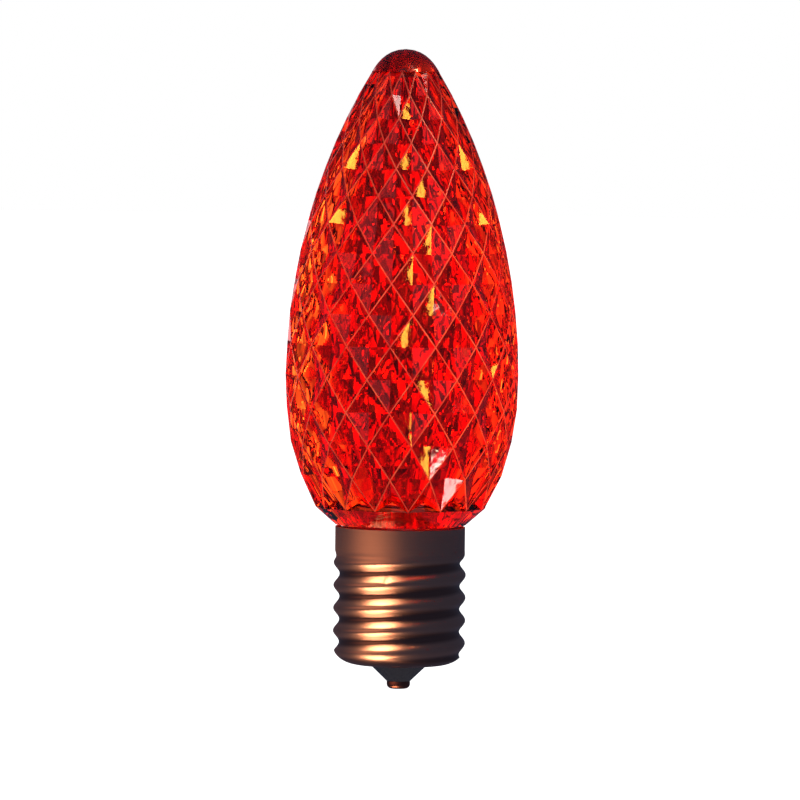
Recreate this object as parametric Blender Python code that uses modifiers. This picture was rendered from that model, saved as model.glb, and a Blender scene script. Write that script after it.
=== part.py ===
"""A string-light bulb of the C9 size: a faceted red lens on an intermediate screw base, with its
lamps, board and leads inside. Metres, +Z up. The origin is the centre of the contact's end face,
and +Z runs along the axis to the tip of the lens. The front of the bulb faces -Y."""

import math

import bmesh
import bpy
from mathutils import Matrix, Vector
from mathutils.geometry import interpolate_bezier

MM = 0.001
INCH = 25.4 * MM
OBJECT_NAME = "string_light_bulb"
CLEARANCE = 0.3 * MM  # left between neighbouring pieces
CUT_MARGIN = 1.0 * MM  # how far a cutter reaches past the surface it cuts
WELD_DISTANCE = 0.001 * MM
SHARP_ANGLE = math.radians(40)
LARGE_SEGMENTS = 36
MEDIUM_SEGMENTS = 24
SMALL_SEGMENTS = 16
HOLE_SEGMENTS = 8

# Centre contact: a drawn eyelet with a shank through the insulator
CONTACT_LAND_RADIUS = 0.85 * MM
CONTACT_RADIUS = 1.45 * MM
CONTACT_HEAD_HEIGHT = 0.65 * MM
CONTACT_ROUNDING = 0.58 * MM  # height of the head's rounded edge
SHANK_RADIUS = 0.95 * MM
SHANK_BORE_RADIUS = 0.6 * MM
SHANK_REACH = 0.5 * MM  # above the insulator
CONTACT_FLOOR = 1.1 * MM  # solid metal below the shank's bore

# Insulator: a moulded cone below the shell and a flange inside it
CONE_HEIGHT = 2.05 * MM
CONE_END_RADIUS = 1.6 * MM
CONE_TOP_RADIUS = 3.6 * MM
FLANGE_OVERLAP = 1.7 * MM  # how far the flange reaches past the shell's hole
FLANGE_HEIGHT = 2.0 * MM

# Screw shell: a drawn and rolled metal shell
SHELL_LENGTH = 17.1 * MM
SHELL_WALL = 0.25 * MM
THREAD_CREST_RADIUS = 8.2 * MM
THREAD_DEPTH = 0.75 * MM
THREADS_PER_INCH = 9
TOP_CREST_DROP = 5.9 * MM  # from the collar's top down to the highest crest at +X
THREAD_RUN_OUT = 1.6 * MM  # height over which the top groove fades into the collar
COLLAR_STEP = 0.15 * MM  # from the thread's crests in to the collar
SHELL_END_RADIUS = 5.0 * MM  # flat part of the turned-in end
SHELL_END_ROUNDING = 2.3 * MM  # height of the rounded corner
STEPS_PER_PITCH = 6
STAKE_COUNT = 3
STAKE_AZIMUTH = math.radians(-101.8)
STAKE_DROP = 6.2 * MM  # below the collar's top
STAKE_BALL_RADIUS = 0.8 * MM
STAKE_DEPTH = 0.15 * MM

# Lens: one clear red moulding, hollow, with a plain ring and a neck below its facets
NECK_WALL = 1.1 * MM
RING_OVERHANG = 0.05 * MM  # of the ring's lower edge past the collar
RING_TOP_RADIUS = 10.6 * MM
RING_HEIGHT = 2.2 * MM
LENS_RADIUS = 14.55 * MM
LENS_LENGTH = 56.6 * MM  # from the top of the ring to the tip
WIDEST_HEIGHT = 15.9 * MM  # above the top of the ring
DOME_RADIUS = 4.2 * MM  # where the facets end and the plain dome begins
DOME_HEIGHT = 2.85 * MM
DOME_BANDS = 4
OUTLINE_STEPS = 80  # points in each stretch of the outline
LENS_WALL = 2.0 * MM
BORE_TOP = 0.9 * MM  # height in the ring where the neck's bore starts to widen
HOLLOW_STEPS = 22  # along the hollow, from the ring to the tip
HOLLOW_FIRST_STEP = 2  # the bore widens up to this one
HOLLOW_END_RADIUS = 0.5 * MM  # of the smallest ring below the hollow's end
FACET_COLUMNS = 16
FACET_ROWS = 15
ROW_TAPER = 0.71  # height of the top row over that of the bottom row
FACET_DEPTH = 1.0 * MM  # at the middle of the widest facets
FACET_AZIMUTH = math.radians(-84.8)  # of one node on the ring
RIDGE_WIDTH = 0.3 * MM

# Holder: a moulded sleeve that stands in the shell and carries the board
HOLDER_BODY_SHARE = 0.45  # of the shell's length
HOLDER_SPIGOT_LENGTH = 1.7 * MM
HOLDER_SPIGOT_WALL = 0.9 * MM
NOTCH_WIDTH = 1.6 * MM
NOTCH_HEIGHT = 5.2 * MM

# Board, lamps and the parts below the board
BOARD_THICKNESS = 1.0 * MM
LAMP_SHARE = 0.246  # a lamp's radius over the board's
LAMP_HEIGHT = 5.3 * MM
LAMP_RIM_WIDTH = 0.25 * MM
LAMP_RIM_HEIGHT = 0.8 * MM
LAMP_EDGE_GAP = 0.45 * MM  # between a lamp's rim and the board's edge
LAMPS_IN_RING = 4
LEAD_SPREAD_SHARE = 0.847  # from a lamp's middle to each lead, over the lamp's radius
LAMP_LEAD_WIDTH = 0.5 * MM
LAMP_LEAD_IN_LAMP = 0.8 * MM
LAMP_LEAD_TAIL = 1.2 * MM  # below the board
WIRE_RADIUS = 0.3 * MM
RESISTOR_RADIUS = 1.1 * MM
RESISTOR_LENGTH = 5.5 * MM
RETURN_SHARE = 0.5  # how far out a resistor's returning lead is, over how far its body is
DIODE_RADIUS = 1.35 * MM
DIODE_LENGTH = 5.2 * MM
DIODE_GAP = 0.45 * MM  # between the diode and the holder
BODY_CHAMFER_SHARE = 0.3  # of a resistor's or the diode's radius
PART_DROP = 2.2 * MM  # from the board down to the bodies below it
RESISTOR_STRAIGHT = 0.3 * MM  # of a resistor's lead, between its body and the bend
DIODE_STRAIGHT = 1.2 * MM  # of the diode's lower lead, between its body and the bend
EYELET_STRAIGHT = 1.6 * MM  # of the same lead, above the eyelet
SHELL_WIRE_GAP = 0.7 * MM  # between the wire and the holder
SHELL_WIRE_STRAIGHT = 1.5 * MM  # below the board
SHELL_WIRE_BEND = 1.0 * MM
SOLDER_RADIUS = 0.45 * MM
SOLDER_HEIGHT = 0.7 * MM
SOLDER_LIP = 0.1 * MM  # width of the solder ring's top edge
SOLDER_OVERHANG = 0.15 * MM  # of the solder ring past the shank

# Heights and radii that follow from the sizes above
INSULATOR_BOTTOM = CONTACT_HEAD_HEIGHT + CLEARANCE
SHELL_BOTTOM = INSULATOR_BOTTOM + CONE_HEIGHT
SHELL_HOLE_RADIUS = CONE_TOP_RADIUS + CLEARANCE
FLANGE_BOTTOM = SHELL_BOTTOM + SHELL_WALL + CLEARANCE
FLANGE_TOP = FLANGE_BOTTOM + FLANGE_HEIGHT
SHANK_TOP = FLANGE_TOP + SHANK_REACH
THREAD_PITCH = INCH / THREADS_PER_INCH
COLLAR_RADIUS = THREAD_CREST_RADIUS - COLLAR_STEP
COLLAR_TOP = SHELL_BOTTOM + SHELL_LENGTH
TOP_CREST = COLLAR_TOP - TOP_CREST_DROP
RUN_OUT_START = TOP_CREST + THREAD_PITCH / 2
RUN_OUT_END = RUN_OUT_START + THREAD_RUN_OUT
NECK_RADIUS = COLLAR_RADIUS - SHELL_WALL - CLEARANCE
NECK_BORE = NECK_RADIUS - NECK_WALL
NECK_BOTTOM = RUN_OUT_END + CLEARANCE
RING_BOTTOM_RADIUS = COLLAR_RADIUS + RING_OVERHANG
RING_BOTTOM = COLLAR_TOP + CLEARANCE
RING_TOP = RING_BOTTOM + RING_HEIGHT
TIP = RING_TOP + LENS_LENGTH
HOLDER_SHOULDER = NECK_BOTTOM - CLEARANCE
HOLDER_RADIUS = THREAD_CREST_RADIUS - THREAD_DEPTH - SHELL_WALL - CLEARANCE
SPIGOT_RADIUS = NECK_BORE - CLEARANCE
HOLDER_BORE = SPIGOT_RADIUS - HOLDER_SPIGOT_WALL
HOLDER_TOP = HOLDER_SHOULDER + HOLDER_SPIGOT_LENGTH
HOLDER_BOTTOM = HOLDER_SHOULDER - HOLDER_BODY_SHARE * SHELL_LENGTH
BOARD_BOTTOM = HOLDER_TOP + CLEARANCE
BOARD_TOP = BOARD_BOTTOM + BOARD_THICKNESS
LAMP_BOTTOM = BOARD_TOP + CLEARANCE
LAMP_RADIUS = LAMP_SHARE * SPIGOT_RADIUS
LAMP_RIM_RADIUS = LAMP_RADIUS + LAMP_RIM_WIDTH
LAMP_RING_RADIUS = SPIGOT_RADIUS - LAMP_EDGE_GAP - LAMP_RIM_RADIUS
LEAD_SPREAD = LEAD_SPREAD_SHARE * LAMP_RADIUS
RESISTOR_OFFSET = HOLDER_BORE - CLEARANCE - RESISTOR_RADIUS
RETURN_OFFSET = RETURN_SHARE * RESISTOR_OFFSET
DIODE_OFFSET = HOLDER_BORE - DIODE_GAP - DIODE_RADIUS
SHELL_WIRE_OFFSET = HOLDER_BORE - SHELL_WIRE_GAP - WIRE_RADIUS
LEAD_HOLE_RADIUS = LAMP_LEAD_WIDTH / 2 + CLEARANCE
WIRE_HOLE_RADIUS = WIRE_RADIUS + CLEARANCE


def start_scene():
    """Clears the scene, and returns the parts' collection and the cutters'."""
    for old in list(bpy.data.objects):
        bpy.data.objects.remove(old, do_unlink=True)
    collections = []
    for name in (OBJECT_NAME, "cutters"):
        collection = bpy.data.collections.new(name)
        bpy.context.scene.collection.children.link(collection)
        collections.append(collection)
    collections[1].hide_render = True
    return collections


parts, cutters = start_scene()


def finish(name, colour, roughness, metallic=0.0, transmission=0.0):
    material = bpy.data.materials.new(name)
    material.use_nodes = True
    shader = material.node_tree.nodes["Principled BSDF"]
    shader.inputs["Base Color"].default_value = (*colour, 1.0)
    shader.inputs["Roughness"].default_value = roughness
    shader.inputs["Metallic"].default_value = metallic
    shader.inputs["Transmission Weight"].default_value = transmission
    return material


CLEAR_RED = finish("clear_red_plastic", (0.85, 0.02, 0.01), 0.05, transmission=0.9)
BRONZED_METAL = finish("bronzed_metal", (0.42, 0.21, 0.11), 0.28, metallic=1.0)
DARK_INSULATOR = finish("dark_moulding", (0.03, 0.025, 0.03), 0.35)
CONTACT_METAL = finish("contact_metal", (0.45, 0.30, 0.22), 0.3, metallic=1.0)
WHITE_MOULDING = finish("white_moulding", (0.8, 0.8, 0.77), 0.45)
BOARD_FACE = finish("board_face", (0.75, 0.76, 0.72), 0.5)
LAMP_RESIN = finish("lamp_resin", (0.8, 0.05, 0.03), 0.1, transmission=0.8)
TINNED_WIRE = finish("tinned_wire", (0.7, 0.7, 0.68), 0.3, metallic=1.0)
RESISTOR_COAT = finish("resistor_coat", (0.35, 0.5, 0.6), 0.5)
DIODE_BODY = finish("diode_body", (0.02, 0.02, 0.022), 0.4)
SOLDER = finish("solder", (0.62, 0.62, 0.62), 0.35, metallic=1.0)


def add_object(name, data, material=None):
    """A new part. Data that already has its material is given none."""
    obj = bpy.data.objects.new(name, data)
    parts.objects.link(obj)
    if material:
        data.materials.append(material)
    return obj


def shade(mesh):
    mesh.shade_smooth()
    mesh.set_sharp_from_angle(angle=SHARP_ANGLE)


def as_cutter(obj):
    """Moves an object into the cutters' collection."""
    obj.hide_render = True
    obj.display_type = "WIRE"
    for holder in list(obj.users_collection):
        holder.objects.unlink(obj)
    cutters.objects.link(obj)
    return obj


def boolean(obj, other, operation="DIFFERENCE"):
    modifier = obj.modifiers.new(operation.lower(), "BOOLEAN")
    modifier.solver = "EXACT"
    modifier.operation = operation
    modifier.material_mode = "TRANSFER"
    modifier.object = other


def turned(name, profile, segments, material, closed=True):
    """A solid turned about Z. The profile holds (radius, height) pairs and runs down its outer side."""
    mesh = bpy.data.meshes.new(name)
    points = [(radius, 0.0, height) for radius, height in profile]
    edges = [(i, i + 1) for i in range(len(points) - 1)]
    if closed:
        edges.append((len(points) - 1, 0))
    mesh.from_pydata(points, edges, [])
    obj = add_object(name, mesh, material)
    screw = obj.modifiers.new("turn", "SCREW")
    screw.axis = "Z"
    screw.steps = segments
    screw.render_steps = segments
    screw.use_merge_vertices = True
    screw.merge_threshold = WELD_DISTANCE
    screw.use_smooth_shade = True
    return obj


def applied(obj):
    """The object with its modifiers made into its mesh. Its name and place stay."""
    name = obj.name
    graph = bpy.context.evaluated_depsgraph_get()
    mesh = bpy.data.meshes.new_from_object(obj.evaluated_get(graph))
    welder = bmesh.new()
    welder.from_mesh(mesh)
    bmesh.ops.remove_doubles(welder, verts=welder.verts, dist=WELD_DISTANCE)
    welder.to_mesh(mesh)
    welder.free()
    place = obj.matrix_world.copy()
    bpy.data.objects.remove(obj, do_unlink=True)
    made = add_object(name, mesh)
    made.matrix_world = place
    return made


def wire(name, route, radius, material):
    """A round wire along a smooth line through the route's points."""
    curve = bpy.data.curves.new(name, "CURVE")
    curve.dimensions = "3D"
    curve.resolution_u = 3
    curve.bevel_depth = radius
    curve.bevel_resolution = 2
    curve.use_fill_caps = True
    spline = curve.splines.new("BEZIER")
    spline.bezier_points.add(len(route) - 1)
    for knot, place in zip(spline.bezier_points, route):
        knot.co = place
        knot.handle_left_type = "AUTO"
        knot.handle_right_type = "AUTO"
    return add_object(name, curve, material)


def ellipse_quarter(centre, half_width, half_height, start, end, steps):
    """Points on an ellipse about the centre, from one angle to the other in degrees."""
    angles = [math.radians(start + (end - start) * i / steps) for i in range(steps + 1)]
    return [
        (centre[0] + half_width * math.cos(a), centre[1] + half_height * math.sin(a))
        for a in angles
    ]


def make_contact():
    corner = (CONTACT_LAND_RADIUS, CONTACT_ROUNDING)
    corner_width = CONTACT_RADIUS - CONTACT_LAND_RADIUS
    profile = [
        (0, CONTACT_FLOOR),
        (SHANK_BORE_RADIUS, CONTACT_FLOOR),
        (SHANK_BORE_RADIUS, SHANK_TOP),
        (SHANK_RADIUS, SHANK_TOP),
        (SHANK_RADIUS, CONTACT_HEAD_HEIGHT),
        (CONTACT_RADIUS, CONTACT_HEAD_HEIGHT),
        *ellipse_quarter(corner, corner_width, CONTACT_ROUNDING, 0, -90, 4),
        (0, 0),
    ]
    return turned("centre_contact", profile, MEDIUM_SEGMENTS, CONTACT_METAL, closed=False)


def make_insulator():
    bore = SHANK_RADIUS + CLEARANCE
    flange_radius = SHELL_HOLE_RADIUS + FLANGE_OVERLAP
    profile = [
        (bore, FLANGE_TOP),
        (flange_radius, FLANGE_TOP),
        (flange_radius, FLANGE_BOTTOM),
        (CONE_TOP_RADIUS, FLANGE_BOTTOM),
        (CONE_TOP_RADIUS, SHELL_BOTTOM),
        (CONE_END_RADIUS, INSULATOR_BOTTOM),
        (bore, INSULATOR_BOTTOM),
    ]
    return turned("insulator", profile, LARGE_SEGMENTS, DARK_INSULATOR)


def smooth_step(value):
    value = min(max(value, 0.0), 1.0)
    return value * value * (3 - 2 * value)


def shell_radius(azimuth, height, plain_radius):
    """The rolled thread: a groove one pitch high that climbs to the right, and fades into the collar."""
    turn = (azimuth % math.tau) / math.tau
    phase = (height - TOP_CREST) / THREAD_PITCH - turn
    groove = 0.5 - 0.5 * math.cos(math.tau * phase)
    fade = 1 - smooth_step((height - RUN_OUT_START) / THREAD_RUN_OUT)
    outer = COLLAR_RADIUS + (THREAD_CREST_RADIUS - COLLAR_RADIUS) * fade
    return min(plain_radius, outer - THREAD_DEPTH * groove * fade)


def make_shell():
    rounding_top = SHELL_BOTTOM + SHELL_END_ROUNDING
    corner = (SHELL_END_RADIUS, rounding_top)
    corner_width = THREAD_CREST_RADIUS - SHELL_END_RADIUS
    steps = round((RUN_OUT_END - rounding_top) / THREAD_PITCH * STEPS_PER_PITCH)
    profile = [(SHELL_HOLE_RADIUS, SHELL_BOTTOM)]
    profile += ellipse_quarter(corner, corner_width, SHELL_END_ROUNDING, -90, 0, 5)
    profile += [
        (THREAD_CREST_RADIUS, rounding_top + (RUN_OUT_END - rounding_top) * i / steps)
        for i in range(1, steps + 1)
    ]
    profile.append((THREAD_CREST_RADIUS, COLLAR_TOP))
    builder = bmesh.new()
    knots = [builder.verts.new((radius, 0, height)) for radius, height in reversed(profile)]
    edges = [builder.edges.new(pair) for pair in zip(knots, knots[1:])]
    bmesh.ops.spin(
        builder,
        geom=knots + edges,
        axis=(0, 0, 1),
        cent=(0, 0, 0),
        angle=math.tau,
        steps=LARGE_SEGMENTS,
        use_merge=True,
    )
    for vertex in builder.verts:
        radius = vertex.co.xy.length
        azimuth = math.atan2(vertex.co.y, vertex.co.x)
        rolled = shell_radius(azimuth, vertex.co.z, radius)
        vertex.co.xy *= rolled / radius
    bmesh.ops.recalc_face_normals(builder, faces=builder.faces)
    mesh = bpy.data.meshes.new("screw_shell")
    builder.to_mesh(mesh)
    builder.free()
    shade(mesh)
    shell = add_object("screw_shell", mesh, BRONZED_METAL)
    wall = shell.modifiers.new("wall", "SOLIDIFY")
    wall.thickness = SHELL_WALL
    wall.offset = -1
    wall.use_even_offset = True
    for i in range(STAKE_COUNT):
        azimuth = STAKE_AZIMUTH + math.tau * i / STAKE_COUNT
        height = COLLAR_TOP - STAKE_DROP
        reach = shell_radius(azimuth, height, THREAD_CREST_RADIUS) + STAKE_BALL_RADIUS - STAKE_DEPTH
        bpy.ops.mesh.primitive_ico_sphere_add(
            subdivisions=2,
            radius=STAKE_BALL_RADIUS,
            location=(reach * math.cos(azimuth), reach * math.sin(azimuth), height),
        )
        ball = bpy.context.object
        ball.name = f"stake_{i + 1}"
        boolean(shell, as_cutter(ball))
    return shell


def lens_outline():
    """Close points (radius, height) up the lens: a line of them from the top of the ring to the dome,
    and one over the dome to the tip. Each stretch between two knots has its handles given as shares
    of the stretch's own width and rise."""
    widest = RING_TOP + WIDEST_HEIGHT
    dome_bottom = TIP - DOME_HEIGHT
    stretches = [
        ((RING_TOP_RADIUS, RING_TOP), (0.92, 0.37), (0.0, -0.235), (LENS_RADIUS, widest)),
        ((LENS_RADIUS, widest), (0.0, 0.436), (0.466, -0.206), (DOME_RADIUS, dome_bottom)),
        ((DOME_RADIUS, dome_bottom), (-0.08, 0.19), (0.648, 0.0), (0.0, TIP)),
    ]
    lines = []
    for start, out, back, end in stretches:
        width = abs(end[0] - start[0])
        rise = end[1] - start[1]
        handle_out = (start[0] + out[0] * width, start[1] + out[1] * rise)
        handle_back = (end[0] + back[0] * width, end[1] + back[1] * rise)
        knots = [Vector((*p, 0)) for p in (start, handle_out, handle_back, end)]
        lines.append([p.to_2d() for p in interpolate_bezier(*knots, OUTLINE_STEPS)])
    lower, upper, dome = lines
    return lower + upper[1:], dome


def along(points, distance):
    """The place on a line of points at this distance along it, and the outward normal there."""
    for start, end in zip(points, points[1:]):
        step = (end - start).length
        if distance <= step or end is points[-1]:
            direction = (end - start).normalized()
            return start + direction * distance, Vector((direction.y, -direction.x))
        distance -= step


def length_of(points):
    return sum((b - a).length for a, b in zip(points, points[1:]))


def facet_rows(side):
    """Place and outward normal of each row of nodes, from the ring to the dome. The rows shorten evenly."""
    shares = [1 + (ROW_TAPER - 1) * i / (FACET_ROWS - 1) for i in range(FACET_ROWS)]
    unit = length_of(side) / sum(shares)
    return [along(side, unit * sum(shares[:i])) for i in range(FACET_ROWS + 1)]


def ring_of(builder, radius, height, offset, count, start=FACET_AZIMUTH):
    """One vertex for each column, set round by this share of a column."""
    step = math.tau / FACET_COLUMNS
    made = []
    for i in range(count):
        azimuth = start + step * (i + offset) * FACET_COLUMNS / count
        made.append(builder.verts.new((radius * math.cos(azimuth), radius * math.sin(azimuth), height)))
    return made


def band(builder, lower, upper):
    """Quads between two rings of as many vertices."""
    for i in range(len(lower)):
        after = (i + 1) % len(lower)
        builder.faces.new((lower[i], lower[after], upper[after], upper[i]))


def build_facets(builder, rows):
    """The lattice: nodes on the outline, joined by ridges, and a sunk middle in each diamond between
    four nodes. It returns the nodes, the middles and the ridges."""
    nodes = []
    middles = []
    for k, (place, normal) in enumerate(rows):
        shift = 0.5 * (k % 2)
        sunk = place - normal * FACET_DEPTH * place.x / LENS_RADIUS
        nodes.append(ring_of(builder, place.x, place.y, shift, FACET_COLUMNS))
        middles.append(ring_of(builder, sunk.x, sunk.y, shift + 0.5, FACET_COLUMNS))
    ridges = set()
    for k in range(len(rows)):
        for j in range(FACET_COLUMNS):
            left = nodes[k][j]
            right = nodes[k][(j + 1) % FACET_COLUMNS]
            middle = middles[k][j]
            across = (j + k % 2) % FACET_COLUMNS
            if k > 0:
                below = nodes[k - 1][across]
                builder.faces.new((left, below, middle))
                builder.faces.new((below, right, middle))
                ridges.add(frozenset((left, below)))
                ridges.add(frozenset((below, right)))
            if k < len(rows) - 1:
                above = nodes[k + 1][across]
                builder.faces.new((right, above, middle))
                builder.faces.new((above, left, middle))
    return nodes, middles, ridges


def close_ledge(builder, nodes, middles, edge, above):
    """Joins a row of half diamonds to the plain edge that cuts them. The edge holds the row's nodes
    and the points between them."""
    for j in range(FACET_COLUMNS):
        left = nodes[j]
        right = nodes[(j + 1) % FACET_COLUMNS]
        halves = ((left, edge[j], middles[j]), (edge[j], right, middles[j]))
        for face in halves:
            builder.faces.new(face[::-1] if above else face)


def interleave(first, second):
    return [vertex for pair in zip(first, second) for vertex in pair]


def make_lens():
    side, dome = lens_outline()
    rows = facet_rows(side)
    builder = bmesh.new()
    nodes, middles, ridges = build_facets(builder, rows)
    around = 2 * FACET_COLUMNS

    ring_edge = ring_of(builder, RING_TOP_RADIUS, RING_TOP, 0.5, FACET_COLUMNS)
    close_ledge(builder, nodes[0], middles[0], ring_edge, above=False)
    top = interleave(nodes[0], ring_edge)
    for radius, height in (
        (RING_BOTTOM_RADIUS, RING_BOTTOM),
        (NECK_RADIUS, RING_BOTTOM),
        (NECK_RADIUS, NECK_BOTTOM),
    ):
        below = ring_of(builder, radius, height, 0, around)
        band(builder, below, top)
        top = below
    builder.faces.new(top[::-1])

    shift = 0.5 * (FACET_ROWS % 2)
    dome_edge = ring_of(builder, rows[-1][0].x, rows[-1][0].y, shift + 0.5, FACET_COLUMNS)
    close_ledge(builder, nodes[-1], middles[-1], dome_edge, above=True)
    lower = interleave(nodes[-1], dome_edge)
    turn = FACET_AZIMUTH + math.tau / FACET_COLUMNS * shift
    for i in range(1, DOME_BANDS):
        place = dome[i * len(dome) // DOME_BANDS]
        upper = ring_of(builder, place.x, place.y, 0, around, start=turn)
        band(builder, lower, upper)
        lower = upper
    tip = builder.verts.new((0, 0, TIP))
    for i in range(around):
        builder.faces.new((lower[i], lower[(i + 1) % around], tip))

    weight = builder.edges.layers.float.new("bevel_weight_edge")
    for edge in builder.edges:
        if frozenset(edge.verts) in ridges:
            edge[weight] = 1.0
    mesh = bpy.data.meshes.new("lens")
    builder.to_mesh(mesh)
    builder.free()
    lens = add_object("lens", mesh, CLEAR_RED)
    rounding = lens.modifiers.new("ridges", "BEVEL")
    rounding.limit_method = "WEIGHT"
    rounding.width = RIDGE_WIDTH / 2
    rounding.segments = 1

    outline = side + dome[1:]
    step = length_of(outline) / HOLLOW_STEPS
    profile = [(0, TIP - LENS_WALL)]
    for i in reversed(range(HOLLOW_FIRST_STEP, HOLLOW_STEPS + 1)):
        place, normal = along(outline, step * i)
        inside = place - normal * LENS_WALL
        if inside.x > HOLLOW_END_RADIUS:
            profile.append(tuple(inside))
    profile += [
        (NECK_BORE, RING_BOTTOM + BORE_TOP),
        (NECK_BORE, NECK_BOTTOM - CUT_MARGIN),
        (0, NECK_BOTTOM - CUT_MARGIN),
    ]
    hollow = as_cutter(turned("lens_hollow", profile, around, CLEAR_RED, closed=False))
    boolean(lens, hollow)
    return lens


def make_holder():
    profile = [
        (HOLDER_BORE, HOLDER_TOP),
        (SPIGOT_RADIUS, HOLDER_TOP),
        (SPIGOT_RADIUS, HOLDER_SHOULDER),
        (HOLDER_RADIUS, HOLDER_SHOULDER),
        (HOLDER_RADIUS, HOLDER_BOTTOM),
        (HOLDER_BORE, HOLDER_BOTTOM),
    ]
    holder = turned("led_holder", profile, LARGE_SEGMENTS, WHITE_MOULDING)
    bpy.ops.mesh.primitive_cube_add(size=1)
    notch = bpy.context.object
    notch.name = "wire_notch"
    notch.scale = (HOLDER_RADIUS, NOTCH_WIDTH, 2 * NOTCH_HEIGHT)
    notch.location = (HOLDER_RADIUS, 0, HOLDER_BOTTOM)
    boolean(holder, as_cutter(notch))
    return holder


def lamp_places():
    """Middle (x, y) and turn of each lamp: one at the centre and a ring about it. Each lamp in the
    ring has its two leads square to the board's radius."""
    places = [(0.0, 0.0, 0.0)]
    for i in range(LAMPS_IN_RING):
        azimuth = math.tau * (i + 0.5) / LAMPS_IN_RING
        x = LAMP_RING_RADIUS * math.cos(azimuth)
        y = LAMP_RING_RADIUS * math.sin(azimuth)
        places.append((x, y, azimuth + math.pi / 2))
    return places


def lead_places():
    """Where each lamp's leads pass through the board."""
    places = []
    for x, y, turn in lamp_places():
        for side in (1, -1):
            across = LEAD_SPREAD * side
            places.append((x + across * math.cos(turn), y + across * math.sin(turn), turn))
    return places


def wire_places():
    """Where the wires of the resistors, the diode and the shell pass through the board."""
    return [
        (0, -RESISTOR_OFFSET),
        (0, -RETURN_OFFSET),
        (0, RESISTOR_OFFSET),
        (0, RETURN_OFFSET),
        (-DIODE_OFFSET, 0),
        (SHELL_WIRE_OFFSET, 0),
    ]


def upright_cylinder(name, radius, bottom, top, sides, material, place=(0, 0)):
    builder = bmesh.new()
    bmesh.ops.create_cone(
        builder, cap_ends=True, segments=sides, radius1=radius, radius2=radius, depth=top - bottom
    )
    bmesh.ops.translate(builder, verts=builder.verts, vec=(*place, (top + bottom) / 2))
    mesh = bpy.data.meshes.new(name)
    builder.to_mesh(mesh)
    builder.free()
    shade(mesh)
    return add_object(name, mesh, material)


def make_board():
    board = upright_cylinder(
        "circuit_board", SPIGOT_RADIUS, BOARD_BOTTOM, BOARD_TOP, LARGE_SEGMENTS, BOARD_FACE
    )
    holes = [(x, y, LEAD_HOLE_RADIUS) for x, y, _ in lead_places()]
    holes += [(x, y, WIRE_HOLE_RADIUS) for x, y in wire_places()]
    bottom = BOARD_BOTTOM - CUT_MARGIN
    top = BOARD_TOP + CUT_MARGIN
    for i, (x, y, radius) in enumerate(holes):
        name = f"board_hole_{i + 1}"
        hole = upright_cylinder(name, radius, bottom, top, HOLE_SEGMENTS, BOARD_FACE, (x, y))
        boolean(board, as_cutter(hole))
    return board


def make_lamps():
    """The lamps share one moulded resin body, and their leads share one square pin."""
    shoulder = LAMP_HEIGHT - LAMP_RADIUS
    profile = [
        *ellipse_quarter((0, shoulder), LAMP_RADIUS, LAMP_RADIUS, 90, 0, 4),
        (LAMP_RADIUS, LAMP_RIM_HEIGHT),
        (LAMP_RIM_RADIUS, LAMP_RIM_HEIGHT),
        (LAMP_RIM_RADIUS, 0),
        (0, 0),
    ]
    profile[0] = (0, LAMP_HEIGHT)
    first = turned("led_1", profile, SMALL_SEGMENTS, LAMP_RESIN, closed=False)
    top = LAMP_LEAD_IN_LAMP + CLEARANCE
    for number, side in ((1, 1), (2, -1)):
        name = f"lead_socket_{number}"
        place = (side * LEAD_SPREAD, 0)
        socket = upright_cylinder(
            name, LEAD_HOLE_RADIUS, -CUT_MARGIN, top, HOLE_SEGMENTS, LAMP_RESIN, place
        )
        boolean(first, as_cutter(socket))
    first = applied(first)
    pin_bottom = BOARD_BOTTOM - LAMP_LEAD_TAIL
    pin_top = LAMP_BOTTOM + LAMP_LEAD_IN_LAMP
    bpy.ops.mesh.primitive_cube_add(size=1)
    pin = bpy.context.object
    pin.data.materials.append(TINNED_WIRE)
    pin.data.transform(
        Matrix.Translation((0, 0, (pin_top + pin_bottom) / 2))
        @ Matrix.Diagonal((LAMP_LEAD_WIDTH, LAMP_LEAD_WIDTH, pin_top - pin_bottom, 1))
    )
    for i, (x, y, turn) in enumerate(lamp_places()):
        lamp = first if i == 0 else add_object(f"led_{i + 1}", first.data)
        lamp.location = (x, y, LAMP_BOTTOM)
        lamp.rotation_euler.z = turn
    for i, (x, y, turn) in enumerate(lead_places()):
        side = "ab"[i % 2]
        lead = add_object(f"led_{i // 2 + 1}_lead_{side}", pin.data)
        lead.location = (x, y, 0)
        lead.rotation_euler.z = turn
    bpy.data.objects.remove(pin, do_unlink=True)


def coated_body(name, radius, length, material):
    """The body of a resistor or a diode, upright about the origin, with both ends chamfered."""
    end = radius * BODY_CHAMFER_SHARE
    half = length / 2
    profile = [
        (0, half),
        (radius - end, half),
        (radius, half - end),
        (radius, end - half),
        (radius - end, -half),
        (0, -half),
    ]
    return turned(name, profile, SMALL_SEGMENTS, material, closed=False)


def make_resistors():
    middle = BOARD_BOTTOM - PART_DROP - RESISTOR_LENGTH / 2
    bend_top = middle - RESISTOR_LENGTH / 2 - RESISTOR_STRAIGHT
    bend_radius = (RESISTOR_OFFSET - RETURN_OFFSET) / 2
    for number, side in ((1, -1), (2, 1)):
        name = f"resistor_{number}"
        outer = side * RESISTOR_OFFSET
        inner = side * RETURN_OFFSET
        body = coated_body(name, RESISTOR_RADIUS, RESISTOR_LENGTH, RESISTOR_COAT)
        body.location = (0, outer, middle)
        route = [
            (0, outer, BOARD_TOP),
            (0, outer, middle),
            (0, outer, bend_top),
            (0, (outer + inner) / 2, bend_top - bend_radius),
            (0, inner, bend_top),
            (0, inner, middle),
            (0, inner, BOARD_TOP),
        ]
        bpy.context.view_layer.update()
        boolean(body, as_cutter(applied(wire(name + "_wire", route, WIRE_RADIUS, TINNED_WIRE))), "UNION")


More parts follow.
